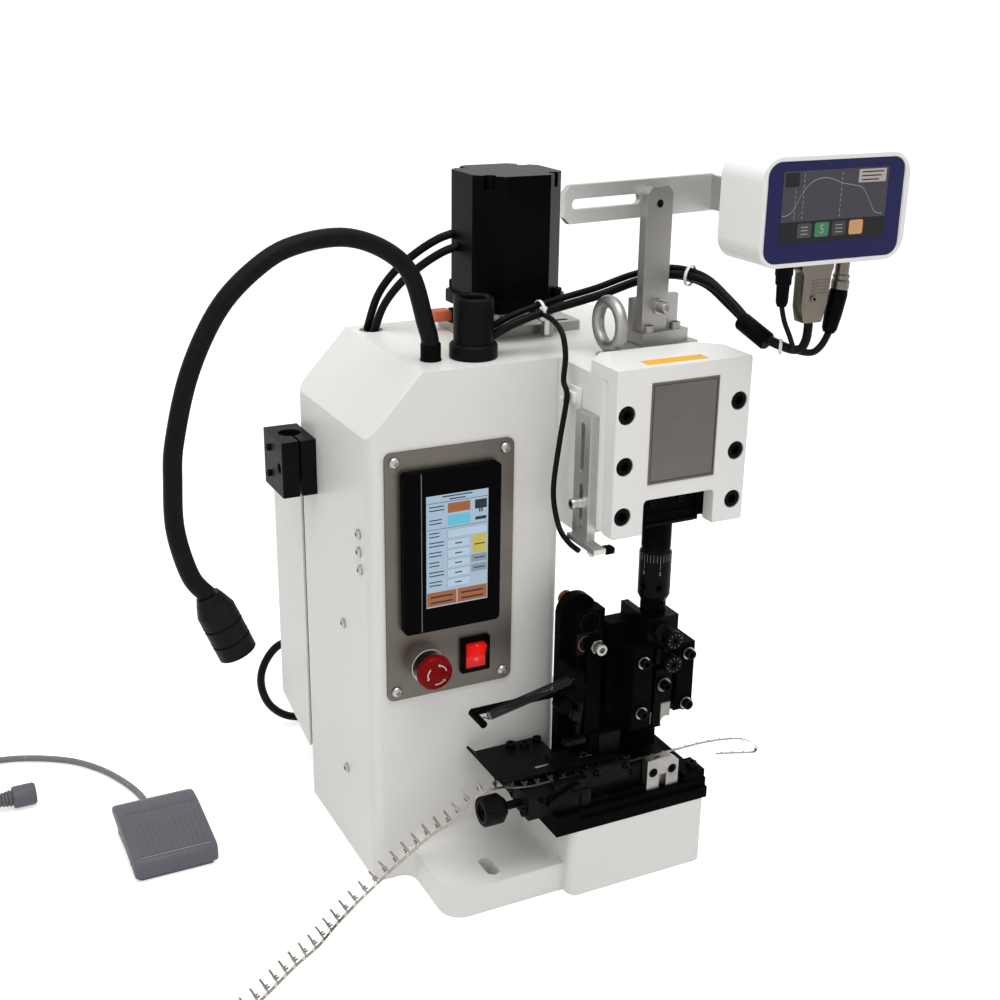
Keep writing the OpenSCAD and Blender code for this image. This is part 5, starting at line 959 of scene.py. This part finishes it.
def pedalTop():
    bm = slabOf([(y, z) for y, z in pedalForm["profile"]], pedalForm["left"], pedalForm["right"])
    bm.transform(Matrix(((0, 0, 1, 0), (1, 0, 0, 0), (0, 1, 0, 0), (0, 0, 0, 1))))
    outward(bm)
    roundEdges(bm, 2.6, 3)
    piece("pedalCover", bm, pedalGrey, "pedal", stands=("pedal_cover",), smooth=50)
    slope = math.atan2(28.8 - 20.2, 200 - 147.5)
    middle = (pedalForm["left"] + pedalForm["right"]) / 2
    ribs = []
    for count, start, high, long, lean in ((pedalForm["frontRibs"], 150.5, 20.75, 42, slope), (pedalForm["backRibs"], 206, 29.72, 14, -0.012)):
        for i in range(count):
            x = middle + 1 + (i - (count - 1) / 2) * pedalForm["pitch"] * (1 if long > 20 else 1.1)
            ribs.append((box((x - 1.5, 0, -0.8), (x + 1.5, long, 0.32), 0.3), moved((0, start, high)) @ Matrix.Rotation(lean, 4,
                "X")))
    piece("pedalRibs", ribs, pedalGrey, "pedal")
    # a paler strip along the front bend of the pedal cover: a painted highlight of that edge
    piece("pedalHighlightStrip", [box((middle - 29, 147.9, 20.35), (middle + 31, 148.7, 20.95), 0.2)], plastic("pedalPaintedHighlight", (0.30, 0.30, 0.32), 0.4),
          "pedal")
    piece("pedalPin", [turned([(0, 0), (2.2, 0), (2.6, 0.5), (2.2, 1.1), (0, 1.3)], (-408, 160, 12), (-1, 0, 0), 24)], zincPlate, "pedal")


pedalTop()

# ---- motor ----
motorBits = {"axis": (-62, 156), "flangeTop": 477, "bolts": 32.4}
piece("motorBolts", [(screwHead(7.5, 6, 4), aim((motorBits["axis"][0] + i * motorBits["bolts"], motorBits["axis"][1] + j * motorBits["bolts"],
    motorBits["flangeTop"]), (0, 0, 1)))
                           for i in (-1, 1) for j in (-1, 1)], blackOxideFine)
piece("motorConnector", [box((-117, 176, 450), (-101, 190, 459), 1.2)], connectorOrange)
piece("motorKnob", [turned([(0, 0), (5, 0), (5.6, 1), (5.6, 7), (5, 8), (0, 8)], (-101, 183, 454.5), (1, 0, 0), 20)], knurl)
piece("tieKnob", [turned([(0, 0), (2.6, 1), (3.6, 4), (3.8, 8), (3, 11), (0, 13)], (-67, 78, 468), (0, -0.1, 1), 28),
                        box((-66, 75.5, 457), (-62, 77, 469), 0.5)], tieWhite)
print("details made")


# ---- floor and world ----
def addFloor():
    bm = bmesh.new()
    bmesh.ops.create_grid(bm, x_segments=1, y_segments=1, size=6)
    mesh = bpy.data.meshes.new("floor")
    bm.to_mesh(mesh)
    bm.free()
    look = Finish("floorWhite", base=(0.80, 0.80, 0.80), rough=0.6)
    rays = [look.add("ShaderNodeLightPath", outlet=name) for name in ("Is Camera Ray", "Is Glossy Ray")]
    seen = look.add("ShaderNodeMath", {"operation": "MAXIMUM"}, rays)
    glow = look.add("ShaderNodeEmission", {}, {"Color": (1, 1, 1), "Strength": seen * studio["floor"]})
    both = look.add("ShaderNodeAddShader", {}, [Wire(look, look.shader.outputs[0]), glow])
    look.tree.links.new(both.socket, look.out.inputs[0])
    floor = bpy.data.objects.new("floor", mesh)
    floor.location.z = -0.0005
    scene.collection.objects.link(floor)
    mesh.materials.append(look.material)


def addWorld():
    world = bpy.data.worlds.new("world")
    scene.world = world
    world.use_nodes = True
    tree = world.node_tree
    tree.nodes.clear()
    rays = tree.nodes.new("ShaderNodeLightPath")
    either = tree.nodes.new("ShaderNodeMath")
    either.operation = "MAXIMUM"
    tree.links.new(rays.outputs["Is Camera Ray"], either.inputs[0])
    tree.links.new(rays.outputs["Is Glossy Ray"], either.inputs[1])
    soft, white = tree.nodes.new("ShaderNodeBackground"), tree.nodes.new("ShaderNodeBackground")
    soft.inputs[0].default_value, soft.inputs[1].default_value = (1, 0.99, 0.975, 1), studio["ambient"]
    white.inputs[0].default_value, white.inputs[1].default_value = (1, 1, 1, 1), 1.0
    blend = tree.nodes.new("ShaderNodeMixShader")
    for source, target in ((either.outputs[0], blend.inputs[0]), (soft.outputs[0], blend.inputs[1]), (white.outputs[0], blend.inputs[2])):
        tree.links.new(source, target)
    out = tree.nodes.new("ShaderNodeOutputWorld")
    tree.links.new(blend.outputs[0], out.inputs[0])


addFloor()
addWorld()
scene.view_settings.view_transform = "Standard"
print("stage set")
